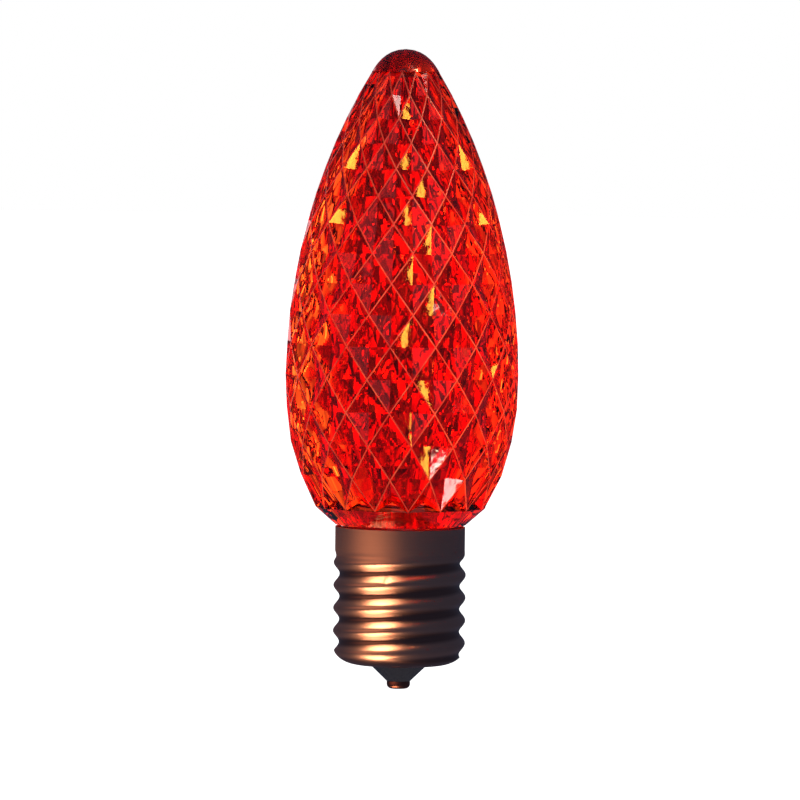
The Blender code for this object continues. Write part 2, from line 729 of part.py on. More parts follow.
def make_diode():
    """The rectifier. Its lower lead runs down to the eyelet, and is soldered there."""
    middle = BOARD_BOTTOM - PART_DROP - DIODE_LENGTH / 2
    body = coated_body("rectifier_diode", DIODE_RADIUS, DIODE_LENGTH, DIODE_BODY)
    body.location = (-DIODE_OFFSET, 0, middle)
    bend_top = middle - DIODE_LENGTH / 2 - DIODE_STRAIGHT
    bend_bottom = SHANK_TOP + EYELET_STRAIGHT
    route = [
        (-DIODE_OFFSET, 0, BOARD_TOP),
        (-DIODE_OFFSET, 0, middle),
        (-DIODE_OFFSET, 0, bend_top),
        (-DIODE_OFFSET / 2, 0, (bend_top + bend_bottom) / 2),
        (0, 0, bend_bottom),
        (0, 0, SHANK_TOP),
        (0, 0, CONTACT_FLOOR + CLEARANCE),
    ]
    bpy.context.view_layer.update()
    boolean(body, as_cutter(applied(wire("diode_wire", route, WIRE_RADIUS, TINNED_WIRE))), "UNION")


def make_shell_wire():
    """A bare wire from the board, out through the holder's notch, to the joint on the shell."""
    exit_height = HOLDER_BOTTOM + NOTCH_HEIGHT - WIRE_HOLE_RADIUS - CLEARANCE
    inner_wall = shell_radius(0, exit_height, THREAD_CREST_RADIUS) - SHELL_WALL
    joint = inner_wall - CLEARANCE - SOLDER_HEIGHT
    route = [
        (SHELL_WIRE_OFFSET, 0, BOARD_TOP),
        (SHELL_WIRE_OFFSET, 0, BOARD_BOTTOM - SHELL_WIRE_STRAIGHT),
        (SHELL_WIRE_OFFSET, 0, exit_height + SHELL_WIRE_BEND),
        (SHELL_WIRE_OFFSET + SHELL_WIRE_BEND, 0, exit_height),
        (joint - CLEARANCE, 0, exit_height),
    ]
    wire("shell_wire", route, WIRE_RADIUS, TINNED_WIRE)
    bead = upright_cylinder("shell_solder", SOLDER_RADIUS, 0, SOLDER_HEIGHT, SMALL_SEGMENTS, SOLDER)
    bead.rotation_euler.y = math.pi / 2
    bead.location = (joint, 0, exit_height)
    return bead


def make_contact_solder():
    """A ring of solder on the eyelet's shank, about the diode's lead."""
    bottom = SHANK_TOP + CLEARANCE
    profile = [
        (WIRE_HOLE_RADIUS, bottom + SOLDER_HEIGHT),
        (WIRE_HOLE_RADIUS + SOLDER_LIP, bottom + SOLDER_HEIGHT),
        (SHANK_RADIUS + SOLDER_OVERHANG, bottom),
        (WIRE_HOLE_RADIUS, bottom),
    ]
    return turned("contact_solder", profile, SMALL_SEGMENTS, SOLDER)


make_contact()
make_insulator()
make_shell()
make_lens()
make_holder()
make_board()
make_lamps()
make_resistors()
make_diode()
make_shell_wire()
make_contact_solder()
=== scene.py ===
"""The look of a C9 string-light bulb with a faceted red lens, built piece by piece from its contact
up to its lens. Metres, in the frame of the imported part: +Z up the bulb's axis, the front facing -Y."""

import math

import bmesh
import bpy
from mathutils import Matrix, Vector
from mathutils.geometry import interpolate_bezier


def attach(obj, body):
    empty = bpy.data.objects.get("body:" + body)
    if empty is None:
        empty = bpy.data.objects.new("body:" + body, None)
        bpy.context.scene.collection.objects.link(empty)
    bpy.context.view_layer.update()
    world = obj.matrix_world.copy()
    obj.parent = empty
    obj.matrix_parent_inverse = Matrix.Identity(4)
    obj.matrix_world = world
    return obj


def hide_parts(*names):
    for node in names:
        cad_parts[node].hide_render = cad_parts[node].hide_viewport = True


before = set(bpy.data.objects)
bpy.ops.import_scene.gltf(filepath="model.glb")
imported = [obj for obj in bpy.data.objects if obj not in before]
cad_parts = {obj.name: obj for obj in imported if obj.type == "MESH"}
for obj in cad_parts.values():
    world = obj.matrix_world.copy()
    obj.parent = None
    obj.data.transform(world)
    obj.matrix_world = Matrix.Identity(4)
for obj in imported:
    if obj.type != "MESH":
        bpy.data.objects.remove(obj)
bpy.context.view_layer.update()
MM = 0.001
CLEARANCE = 0.3 * MM

# Centre contact. A small eyelet is drawn from brass strip and pressed up through the insulator, and its
# rounded land meets the lampholder's spring. Every turned piece of the bulb is made as this one is: its
# profile is swept round the axis.
CONTACT_LAND_RADIUS = 0.85 * MM
CONTACT_RADIUS = 1.45 * MM
CONTACT_HEAD_HEIGHT = 0.65 * MM
CONTACT_SEAT_GAP = 0.03 * MM
CONTACT_HEAD_TOP = CONTACT_HEAD_HEIGHT + CLEARANCE - CONTACT_SEAT_GAP
CONTACT_ROUNDING = 0.58 * MM
CONTACT_ROUNDING_STEPS = 8
SHANK_RADIUS = 0.95 * MM
SHANK_BORE_RADIUS = 0.6 * MM
SHANK_TOP = 6.05 * MM
CONTACT_FLOOR = 1.1 * MM
CONTACT_DULL = (0.16, 0.06, 0.05)
CONTACT_BRIGHT = (0.34, 0.15, 0.11)
SMALL_PIECE_STEPS = 64
WELD_DISTANCE = 0.0005 * MM
INDEX_MARGIN = 0.0001
NODE_SHARE_OF_FACET = 0.1
NODE_SHARE_OF_RIDGE = 0.9
SMOOTHING_ANGLE = 35.0


class Signal:
    """A socket of a node tree that sums can be written with, and one way to add any other node."""

    def __init__(self, tree, socket=None):
        self.tree = tree
        self.socket = socket

    def node(self, kind, settings=None, inputs=None, output=0):
        """Adds a node: first its settings, then a value or a link for each of its sockets."""
        made = self.tree.nodes.new(kind)
        for name, value in (settings or {}).items():
            setattr(made, name, value)
        for name, value in (inputs or {}).items():
            if isinstance(value, Signal):
                self.tree.links.new(value.socket, made.inputs[name])
            else:
                made.inputs[name].default_value = value
        return Signal(self.tree, made.outputs[output] if made.outputs else None)

    def output(self, name):
        """Another output of the same node."""
        return Signal(self.tree, self.socket.node.outputs[name])

    def math(self, operation, *values):
        return self.node("ShaderNodeMath", {"operation": operation}, dict(enumerate(values)))

    def __add__(self, other):
        return self.math("ADD", self, other)

    def __sub__(self, other):
        return self.math("SUBTRACT", self, other)

    def __mul__(self, other):
        return self.math("MULTIPLY", self, other)

    def __truediv__(self, other):
        return self.math("DIVIDE", self, other)

    def __radd__(self, other):
        return self.math("ADD", other, self)

    def __rsub__(self, other):
        return self.math("SUBTRACT", other, self)

    def __rmul__(self, other):
        return self.math("MULTIPLY", other, self)

    def clamped(self):
        return self.math("MINIMUM", self.math("MAXIMUM", self, 0.0), 1.0)

    def ramp(self, start, end):
        """0 up to the start, 1 from the end on, and a straight line between."""
        return ((self - start) / (end - start)).clamped()

    def eased(self):
        """A value from 0 to 1 that sets out and arrives gently."""
        return self * self * (3 - 2 * self)

    def store(self, name, domain, value):
        """The shape with a value kept on each of its points or edges."""
        return self.node(
            "GeometryNodeStoreNamedAttribute",
            {"data_type": "FLOAT", "domain": domain},
            {"Geometry": self, "Name": name, "Value": value},
        )

    def parts(self):
        """The X, Y and Z of a vector."""
        split = self.node("ShaderNodeSeparateXYZ", {}, {"Vector": self})
        return split, split.output("Y"), split.output("Z")

    def vector(self, x, y, z):
        return self.node("ShaderNodeCombineXYZ", {}, {"X": x, "Y": y, "Z": z})

    def reach(self):
        """How far a place is from the bulb's axis."""
        x, y, _ = self.parts()
        flat = self.vector(x, y, 0.0)
        return self.node("ShaderNodeVectorMath", {"operation": "LENGTH"}, {0: flat}, "Value")


def start_shape_tree(name, sizes):
    """An empty Geometry Nodes tree with a named input for each size, and the signals of its inputs."""
    tree = bpy.data.node_groups.new(name, "GeometryNodeTree")
    tree.interface.new_socket("Geometry", in_out="INPUT", socket_type="NodeSocketGeometry")
    for size, kind in sizes.items():
        tree.interface.new_socket(size, in_out="INPUT", socket_type=kind)
    tree.interface.new_socket("Geometry", in_out="OUTPUT", socket_type="NodeSocketGeometry")
    entry = tree.nodes.new("NodeGroupInput")
    return tree, {socket.name: Signal(tree, socket) for socket in entry.outputs if socket.name}


def finish_shape_tree(shape, material, selection=True):
    """Ends a tree with its instances made real and its material set."""
    shape = shape.node("GeometryNodeRealizeInstances", {}, {"Geometry": shape})
    dressed = {"Geometry": shape, "Selection": selection, "Material": material}
    shape = shape.node("GeometryNodeSetMaterial", {}, dressed)
    end = shape.tree.nodes.new("NodeGroupOutput")
    shape.tree.links.new(shape.socket, end.inputs["Geometry"])


def formed(piece, tree, sizes):
    """The piece with its mesh remade by its modifiers and then a Geometry Nodes tree."""
    modifier = piece.modifiers.new("forming", "NODES")
    modifier.node_group = tree
    for socket in tree.interface.items_tree:
        if socket.in_out == "INPUT" and socket.name in sizes:
            modifier[socket.identifier] = sizes[socket.name]
    graph = bpy.context.evaluated_depsgraph_get()
    mesh = bpy.data.meshes.new_from_object(piece.evaluated_get(graph))
    if mesh.materials[0] is None:
        mesh.materials.pop(index=0)
    piece.modifiers.clear()
    piece.data = mesh
    return piece


def make_turning_tree():
    """Sweeps a profile round the axis. The profile is a line of points, each with a height and a radius,
    and a point may be sunk at every other step round the axis, which makes facets."""
    tree, given = start_shape_tree(
        "turned_piece",
        {"Steps": "NodeSocketInt", "First azimuth": "NodeSocketFloat", "Material": "NodeSocketMaterial"},
    )
    start = given["Geometry"]
    count = start.node("GeometryNodeAttributeDomainSize", {}, {"Geometry": start})
    grid = start.node(
        "GeometryNodeMeshGrid",
        {},
        {"Size X": 1.0, "Size Y": 1.0, "Vertices X": given["Steps"] + 1, "Vertices Y": count},
    )
    index = start.node("GeometryNodeInputIndex")
    step = start.math("FLOOR", index / count + INDEX_MARGIN)
    row = index - step * count

    def of_row(value, kind):
        return start.node(
            "GeometryNodeSampleIndex",
            {"data_type": kind},
            {"Geometry": start, "Value": value, "Index": row},
        )

    def stored(name, kind):
        return start.node("GeometryNodeInputNamedAttribute", {"data_type": kind}, {"Name": name})

    odd = start.math("MODULO", step + of_row(stored("offset", "FLOAT"), "FLOAT"), 2.0)
    place = of_row(start.node("GeometryNodeInputPosition"), "FLOAT_VECTOR")
    sink = of_row(stored("sink", "FLOAT_VECTOR"), "FLOAT_VECTOR")
    sunk = start.node("ShaderNodeVectorMath", {"operation": "SCALE"}, {0: sink, "Scale": odd})
    sunk = start.node("ShaderNodeVectorMath", {"operation": "SUBTRACT"}, {0: place, 1: sunk})
    radius, _, height = sunk.parts()
    azimuth = given["First azimuth"] + step * math.tau / given["Steps"]
    swept = start.vector(
        radius * start.math("COSINE", azimuth), radius * start.math("SINE", azimuth), height
    )
    node_here = of_row(stored("node", "FLOAT"), "FLOAT") * (1 - odd)
    shape = grid.store("node", "POINT", node_here)
    shape = shape.node("GeometryNodeSetPosition", {}, {"Geometry": shape, "Position": swept})
    shape = shape.node(
        "GeometryNodeMergeByDistance", {}, {"Geometry": shape, "Distance": WELD_DISTANCE}
    )
    # A node counts as 1 and any other point as 0. A face that touches a node is part of a facet, and an
    # edge from node to node is a ridge.
    faceted = start.math("GREATER_THAN", stored("node", "FLOAT"), NODE_SHARE_OF_FACET)
    shape = shape.node(
        "GeometryNodeTriangulate",
        {"quad_method": "LONGEST_DIAGONAL"},
        {"Mesh": shape, "Selection": faceted},
    )
    ridge = start.math("GREATER_THAN", stored("node", "FLOAT"), NODE_SHARE_OF_RIDGE)
    finish_shape_tree(shape.store("bevel_weight_edge", "EDGE", ridge), given["Material"])
    return tree


TURNING = make_turning_tree()


def turned(name, profile, steps, material, first_azimuth=0.0, facets=None):
    """A turned piece from its profile of (radius, height), which runs up its outer side."""
    mesh = bpy.data.meshes.new(name)
    points = [(radius, 0.0, height) for radius, height in profile]
    mesh.from_pydata(points, [(i, i + 1) for i in range(len(points) - 1)], [])
    for attribute, (kind, field, values) in (facets or {}).items():
        mesh.attributes.new(attribute, kind, "POINT").data.foreach_set(field, values)
    piece = bpy.data.objects.new(name, mesh)
    bpy.context.scene.collection.objects.link(piece)
    sizes = {"Steps": steps, "First azimuth": first_azimuth, "Material": material}
    return formed(piece, TURNING, sizes)


def rounded(centre, width, height, start, end, steps):
    """Points on an ellipse about the centre, from one angle to another in degrees."""
    angles = [math.radians(start + (end - start) * i / steps) for i in range(steps + 1)]
    return [(centre[0] + width * math.cos(a), centre[1] + height * math.sin(a)) for a in angles]


def smooth(piece, angle=SMOOTHING_ANGLE):
    """Smooth shading, apart from edges that are sharper than the angle in degrees."""
    piece.data.shade_smooth()
    piece.data.set_sharp_from_angle(angle=math.radians(angle))
    return piece


def start_finish(name):
    """A material's shader, and the signal of a point's place on the bulb."""
    material = bpy.data.materials.new(name)
    material.use_nodes = True
    start = Signal(material.node_tree)
    place = start.node("ShaderNodeTexCoord", output="Object")
    return material, material.node_tree.nodes["Principled BSDF"], place


def settle(material, shader, **inputs):
    """Sets or links the shader's sockets, named with underscores for spaces."""
    for name, value in inputs.items():
        socket = shader.inputs[name.replace("_", " ")]
        if isinstance(value, Signal):
            material.node_tree.links.new(value.socket, socket)
        else:
            socket.default_value = value
    return material


def mottle(place, grains, detail, stretch=(1.0, 1.0, 1.0)):
    """Soft noise over the surface, from 0 to 1, with so many grains to the metre."""
    spread = place.node("ShaderNodeMapping", {}, {"Vector": place, "Scale": stretch})
    return place.node("ShaderNodeTexNoise", {}, {"Vector": spread, "Scale": grains, "Detail": detail})


def blend_colours(mask, first, second):
    """The first colour where the mask is 0 and the second where it is 1."""
    mix = mask.tree.nodes.new("ShaderNodeMix")
    mix.data_type = "RGBA"
    factor, first_socket, second_socket = (
        next(socket for socket in mix.inputs if socket.enabled and socket.name == name)
        for name in ("Factor", "A", "B")
    )
    for socket, colour in ((first_socket, first), (second_socket, second)):
        if isinstance(colour, Signal):
            mask.tree.links.new(colour.socket, socket)
        else:
            socket.default_value = (*colour, 1.0)
    mask.tree.links.new(mask.socket, factor)
    return Signal(mask.tree, next(socket for socket in mix.outputs if socket.enabled))


def bump(height, distance, strength=1.0):
    """The tilt of a surface with relief this high on it."""
    return height.node(
        "ShaderNodeBump", {}, {"Height": height, "Distance": distance, "Strength": strength}
    )


def make_contact_metal():
    material, shader, place = start_finish("contact_metal")
    wear = mottle(place, grains=2200.0, detail=3.0)
    return settle(
        material,
        shader,
        Base_Color=blend_colours(wear, CONTACT_DULL, CONTACT_BRIGHT),
        Metallic=1.0,
        Roughness=0.22 + 0.2 * wear,
        Normal=bump(wear, distance=0.004 * MM),
    )


contact_corner = rounded(
    (CONTACT_LAND_RADIUS, CONTACT_ROUNDING),
    CONTACT_RADIUS - CONTACT_LAND_RADIUS,
    CONTACT_ROUNDING,
    start=-90,
    end=0,
    steps=CONTACT_ROUNDING_STEPS,
)
contact = turned(
    "contact_eyelet",
    [
        (0, 0),
        *contact_corner,
        (CONTACT_RADIUS, CONTACT_HEAD_TOP),
        (SHANK_RADIUS, CONTACT_HEAD_TOP),
        (SHANK_RADIUS, SHANK_TOP),
        (SHANK_BORE_RADIUS, SHANK_TOP),
        (SHANK_BORE_RADIUS, CONTACT_FLOOR),
        (0, CONTACT_FLOOR),
    ],
    SMALL_PIECE_STEPS,
    make_contact_metal(),
)
smooth(contact)
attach(contact, "root")
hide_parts("centre_contact")

# Insulator. A dark glassy plug is moulded with a cone below the shell and a flange above the shell's
# turned-in end, which holds it. The cone's moulded surface is glossy with slight waves.
INSULATOR_BOTTOM = CONTACT_HEAD_HEIGHT + CLEARANCE
INSULATOR_BORE = SHANK_RADIUS + CLEARANCE
CONE_HEIGHT = 2.05 * MM
CONE_END_RADIUS = 1.6 * MM
CONE_TOP_RADIUS = 3.6 * MM
CONE_EDGE = 0.12 * MM
SHELL_BOTTOM = INSULATOR_BOTTOM + CONE_HEIGHT
FLANGE_BOTTOM = 3.55 * MM
FLANGE_TOP = 5.55 * MM
FLANGE_RADIUS = 5.6 * MM
MOULDING_DARK = (0.026, 0.023, 0.028)
MOULDING_LIGHT = (0.044, 0.040, 0.046)


def make_insulator_moulding():
    material, shader, place = start_finish("dark_moulding")
    waves = mottle(place, grains=500.0, detail=2.0)
    specks = mottle(place, grains=3000.0, detail=3.0)
    return settle(
        material,
        shader,
        Base_Color=blend_colours(specks, MOULDING_DARK, MOULDING_LIGHT),
        Roughness=0.16 + 0.14 * specks,
        IOR=1.52,
        Normal=bump(waves, distance=0.05 * MM, strength=0.4),
    )


insulator = turned(
    "insulator_plug",
    [
        (INSULATOR_BORE, INSULATOR_BOTTOM),
        (CONE_END_RADIUS - CONE_EDGE, INSULATOR_BOTTOM),
        (CONE_END_RADIUS, INSULATOR_BOTTOM + CONE_EDGE),
        (CONE_TOP_RADIUS, SHELL_BOTTOM),
        (CONE_TOP_RADIUS, FLANGE_BOTTOM),
        (FLANGE_RADIUS, FLANGE_BOTTOM),
        (FLANGE_RADIUS, FLANGE_TOP),
        (INSULATOR_BORE, FLANGE_TOP),
        (INSULATOR_BORE, INSULATOR_BOTTOM),
    ],
    SMALL_PIECE_STEPS,
    make_insulator_moulding(),
)
smooth(insulator)
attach(insulator, "root")
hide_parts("insulator")

# Screw shell. A thin cup is drawn from brass, its thread is rolled in between two rollers, and three stake
# marks hold it on the insulator. A bronze finish covers it, and painted shade darkens the roots of its
# thread.
SHELL_WALL = 0.25 * MM
SHELL_EDGE = 0.05 * MM
SHELL_HOLE_RADIUS = CONE_TOP_RADIUS + CLEARANCE
SHELL_END_RADIUS = 5.0 * MM
SHELL_END_ROUNDING = 2.3 * MM
SHELL_END_STEPS = 20
SHELL_HEIGHT = 17.1 * MM
INCH = 25.4 * MM
TURNS_PER_INCH = 9
THREAD_PITCH = INCH / TURNS_PER_INCH
THREAD_CREST_RADIUS = 8.2 * MM
THREAD_DEPTH = 0.75 * MM
THREAD_FALL = 5.9 * MM
COLLAR_RADIUS = 8.05 * MM
COLLAR_TOP = SHELL_BOTTOM + SHELL_HEIGHT
TOP_CREST = COLLAR_TOP - THREAD_FALL
THREAD_RUN_OUT = 1.6 * MM
RUN_OUT_START = TOP_CREST + THREAD_PITCH / 2
RUN_OUT_END = RUN_OUT_START + THREAD_RUN_OUT
SHELL_STEPS = 160
SHELL_ROW_HEIGHT = 0.16 * MM
SHELL_SMOOTHING_ANGLE = 50.0
SHELL_EDGE_ANGLE = math.radians(60.0)
STAKE_COUNT = 3
STAKE_AZIMUTH = math.radians(-101.8)
STAKE_FALL = 6.2 * MM
STAKE_HEIGHT = COLLAR_TOP - STAKE_FALL
STAKE_SPREAD = 0.55 * MM
STAKE_DEPTH = 0.16 * MM
BRONZE_BRIGHT = (0.62, 0.39, 0.31)
BRONZE_DULL = (0.50, 0.30, 0.24)
# Painted shade in the roots of the thread.
BRONZE_PAINTED_GROOVE_SHADE = (0.24, 0.14, 0.12)


def make_rolling_tree():
    """Rolls the thread into a plain shell: a groove climbs to the right and fades into the collar."""
    tree, given = start_shape_tree(
        "rolled_thread",
        {
            "Pitch": "NodeSocketFloat",
            "Depth": "NodeSocketFloat",
            "Crest radius": "NodeSocketFloat",
            "Collar radius": "NodeSocketFloat",
            "Material": "NodeSocketMaterial",
        },
    )
    shape = given["Geometry"]
    place = shape.node("GeometryNodeInputPosition")
    x, y, height = place.parts()
    radius = place.reach()
    turn = place.math("FRACT", place.math("ARCTAN2", y, x) / math.tau + 1.0)
    phase = (height - TOP_CREST) / given["Pitch"] - turn
    groove = 0.5 - 0.5 * place.math("COSINE", phase * math.tau)
    fade = 1 - height.ramp(RUN_OUT_START, RUN_OUT_END).eased()
    outer = given["Collar radius"] + (given["Crest radius"] - given["Collar radius"]) * fade
    rolled = place.math("MINIMUM", radius, outer - given["Depth"] * groove * fade)
    for i in range(STAKE_COUNT):
        azimuth = STAKE_AZIMUTH + math.tau * i / STAKE_COUNT
        middle = (
            THREAD_CREST_RADIUS * math.cos(azimuth),
            THREAD_CREST_RADIUS * math.sin(azimuth),
            STAKE_HEIGHT,
        )
        ends = {0: place, 1: middle}
        away = place.node("ShaderNodeVectorMath", {"operation": "DISTANCE"}, ends, "Value")
        near = (1 - away / STAKE_SPREAD).clamped()
        rolled = rolled - STAKE_DEPTH * near.eased()
    ratio = rolled / radius
    moved = place.vector(x * ratio, y * ratio, height)
    shape = shape.node("GeometryNodeSetPosition", {}, {"Geometry": shape, "Position": moved})
    finish_shape_tree(shape, given["Material"])
    return tree


def make_bronzed_metal():
    material, shader, place = start_finish("bronzed_metal")
    rise_from_root = place.reach().ramp(THREAD_CREST_RADIUS - THREAD_DEPTH, THREAD_CREST_RADIUS)
    tarnish = mottle(place, grains=260.0, detail=4.0)
    rolling = mottle(place, grains=900.0, detail=3.0, stretch=(0.12, 0.12, 6.0))
    dull = (tarnish * 0.6 + rolling * 0.4).clamped()
    satin = place.parts()[2].ramp(RUN_OUT_START, RUN_OUT_END)
    colour = blend_colours(dull, BRONZE_BRIGHT, BRONZE_DULL)
    # Painted shade: the colour darkens towards the roots of the thread.
    colour = blend_colours(rise_from_root.ramp(0.5, 0.1), colour, BRONZE_PAINTED_GROOVE_SHADE)
    return settle(
        material,
        shader,
        Base_Color=colour,
        Metallic=1.0,
        Roughness=0.24 + 0.14 * dull + 0.14 * satin,
        Normal=bump(rolling, distance=0.006 * MM, strength=0.6),
    )


shell_profile = [(SHELL_HOLE_RADIUS, SHELL_BOTTOM)]
shell_profile += rounded(
    (SHELL_END_RADIUS, SHELL_BOTTOM + SHELL_END_ROUNDING),
    THREAD_CREST_RADIUS - SHELL_END_RADIUS,
    SHELL_END_ROUNDING,
    start=-90,
    end=0,
    steps=SHELL_END_STEPS,
)
shell_rows = round((COLLAR_TOP - SHELL_BOTTOM - SHELL_END_ROUNDING) / SHELL_ROW_HEIGHT)
shell_profile += [
    (THREAD_CREST_RADIUS, COLLAR_TOP - (shell_rows - i) * SHELL_ROW_HEIGHT)
    for i in range(1, shell_rows + 1)
]
bronzed_metal = make_bronzed_metal()
shell = turned("threaded_shell", shell_profile, SHELL_STEPS, bronzed_metal)
formed(
    shell,
    make_rolling_tree(),
    {
        "Pitch": THREAD_PITCH,
        "Depth": THREAD_DEPTH,
        "Crest radius": THREAD_CREST_RADIUS,
        "Collar radius": COLLAR_RADIUS,
        "Material": bronzed_metal,
    },
)
shell_wall = shell.modifiers.new("wall", "SOLIDIFY")
shell_wall.thickness = SHELL_WALL
shell_wall.offset = -1
shell_wall.use_even_offset = True
shell_edge = shell.modifiers.new("edge", "BEVEL")
shell_edge.limit_method = "ANGLE"
shell_edge.angle_limit = SHELL_EDGE_ANGLE
shell_edge.width = SHELL_EDGE
shell_edge.segments = 2
smooth(shell, SHELL_SMOOTHING_ANGLE)
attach(shell, "root")
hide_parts("screw_shell")

# Holder, board and what they carry. A white moulded sleeve stands in the shell with a round board on
# its end. Two resistors and a rectifier hang below the board, soldered through it, and one wire runs
# out to the shell and one down to the eyelet. These keep the shapes of the CAD model.
RESISTOR_AXIS = (0.0, 3.8 * MM)
RESISTOR_MIDDLE = 14.26 * MM
RESISTOR_RADIUS = 1.1 * MM
RESISTOR_LENGTH = 5.5 * MM
RESISTOR_COAT = ((0.25, 0.40, 0.50), (0.35, 0.50, 0.58))
BROWN = (0.45, 0.12, 0.02)
BLACK = (0.02, 0.02, 0.02)
RED = (0.40, 0.03, 0.02)
GOLD = (0.55, 0.36, 0.08)
GREY = (0.62, 0.62, 0.62)
RESISTOR_BANDS = ((-1.7 * MM, BROWN), (-0.7 * MM, BLACK), (0.3 * MM, RED), (1.8 * MM, GOLD))
DIODE_AXIS = (-3.4 * MM, 0.0)
DIODE_MIDDLE = 14.41 * MM
DIODE_RADIUS = 1.35 * MM
DIODE_LENGTH = 5.2 * MM
DIODE_COAT = ((0.015, 0.015, 0.017), (0.030, 0.030, 0.032))
DIODE_BANDS = ((1.7 * MM, GREY),)
BAND_WIDTH = 0.55 * MM
BAND_FADE = 0.04 * MM
COAT_REACH = 1.1
COAT_SIDE_FADE = 0.05 * MM
COAT_END_MARGIN = 0.06 * MM
COAT_END_FADE = 0.03 * MM
BARE_WIRE = (0.68, 0.68, 0.66)
HOLDER_WHITE = ((0.70, 0.70, 0.66), (0.82, 0.82, 0.79))
TIN = ((0.60, 0.60, 0.58), (0.78, 0.78, 0.76))
SOLDER = ((0.55, 0.55, 0.55), (0.72, 0.72, 0.72))
BOARD_WHITE = ((0.70, 0.71, 0.68), (0.82, 0.83, 0.80))
BOARD_TRACK = (0.62, 0.60, 0.50)
BOARD_TRACK_GAP = 1.3 * MM
FINE_GRAINS = 900.0


def make_plain_finish(name, colours, roughness, metallic=0.0):
    """A material that is mottled a little between two close colours."""
    material, shader, place = start_finish(name)
    spots = mottle(place, FINE_GRAINS, detail=3.0)
    return settle(
        material,
        shader,
        Base_Color=blend_colours(spots, *colours),
        Metallic=metallic,
        Roughness=roughness - 0.08 + 0.16 * spots,
        Normal=bump(spots, distance=0.01 * MM, strength=0.5),
    )


def make_axial_part(name, axis, middle, radius, length, colours, bands):
    """A coated body with painted bands round it, and bare tinned wire beyond its ends. Each band has its
    height above the body's middle, and its paint. A twin on the other side of Y has the same look."""
    material, shader, place = start_finish(name)
    x, y, height = place.parts()
    aside = x - axis[0]
    across = y.math("ABSOLUTE", y) - axis[1]
    away = x.math("SQRT", aside * aside + across * across)
    up = height - middle
    beyond_end = length / 2 + COAT_END_MARGIN - up.math("ABSOLUTE", up)
    body = ((radius * COAT_REACH - away) / COAT_SIDE_FADE).clamped()
    body = body * (beyond_end / COAT_END_FADE).clamped()
    spots = mottle(place, FINE_GRAINS, detail=3.0)
    colour = blend_colours(spots, *colours)
    for rise, paint in bands:
        near = BAND_WIDTH / 2 - up.math("ABSOLUTE", up - rise)
        colour = blend_colours((near / BAND_FADE).clamped(), colour, paint)
    return settle(
        material,
        shader,
        Base_Color=blend_colours(body, BARE_WIRE, colour),
        Metallic=1 - body,
        Roughness=0.26 + 0.12 * spots,
        Normal=bump(spots, distance=0.01 * MM, strength=0.5),
    )


def make_board_mask():
    """White solder mask over round copper tracks, which show through it as faint rings."""
    material, shader, place = start_finish("board_mask")
    rings = place.math("SINE", place.reach() * (math.tau / BOARD_TRACK_GAP))
    track = rings.ramp(-0.15, 0.15)
    cloud = mottle(place, grains=700.0, detail=3.0)
    return settle(
        material,
        shader,
        Base_Color=blend_colours(track, blend_colours(cloud, *BOARD_WHITE), BOARD_TRACK),
        Roughness=0.32 + 0.12 * cloud,
        Normal=bump(track, distance=0.03 * MM, strength=0.5),
    )


def dress(material, *nodes):
    """Gives CAD nodes a material."""
    for name in nodes:
        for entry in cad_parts[name].material_slots:
            entry.material = material


LAMPS = [f"led_{i}" for i in range(1, 6)]
LEADS = [f"{lamp}_lead_{side}" for lamp in LAMPS for side in "ab"]
tinned_wire = make_plain_finish("tinned_wire", TIN, roughness=0.3, metallic=1.0)
bright_solder = make_plain_finish("bright_solder", SOLDER, roughness=0.3, metallic=1.0)
resistor_coat = make_axial_part(
    "resistor_coat",
    RESISTOR_AXIS,
    RESISTOR_MIDDLE,
    RESISTOR_RADIUS,
    RESISTOR_LENGTH,
    RESISTOR_COAT,
    RESISTOR_BANDS,
)
diode_body = make_axial_part(
    "diode_body",
    DIODE_AXIS,
    DIODE_MIDDLE,
    DIODE_RADIUS,
    DIODE_LENGTH,
    DIODE_COAT,
    DIODE_BANDS,
)
dress(make_plain_finish("white_moulding", HOLDER_WHITE, roughness=0.45), "led_holder")
dress(make_board_mask(), "circuit_board")
dress(tinned_wire, *LEADS, "shell_wire")
dress(bright_solder, "shell_solder", "contact_solder")
dress(resistor_coat, "resistor_1", "resistor_2")
dress(diode_body, "rectifier_diode")

# Lamps. Five small lamps stand on the board, one in the middle and four round it. Each is cast in clear
# red resin, with a rim at its foot and a domed top, round a stamped frame whose cup holds the chip.
LAMP_BOTTOM = 20.511 * MM
LAMP_RADIUS = 1.5 * MM
LAMP_HEIGHT = 5.3 * MM
LAMP_RIM_RADIUS = 1.75 * MM
LAMP_RIM_HEIGHT = 0.8 * MM
LAMP_EDGE = 0.12 * MM
LAMP_STEPS = 40
LAMP_DOME_STEPS = 12
LAMP_RESIN = ((0.80, 0.10, 0.06), (0.90, 0.16, 0.09))
RING_LAMPS = 4
RING_RADIUS = 3.9 * MM
RING_AZIMUTH = math.radians(45.0)
CUP_RADIUS = 0.62 * MM
CUP_FLOOR_RADIUS = 0.36 * MM
CUP_RISE = 2.9 * MM
CUP_DEPTH = 0.4 * MM
POST_RADIUS = 0.22 * MM
FRAME_STEPS = 24


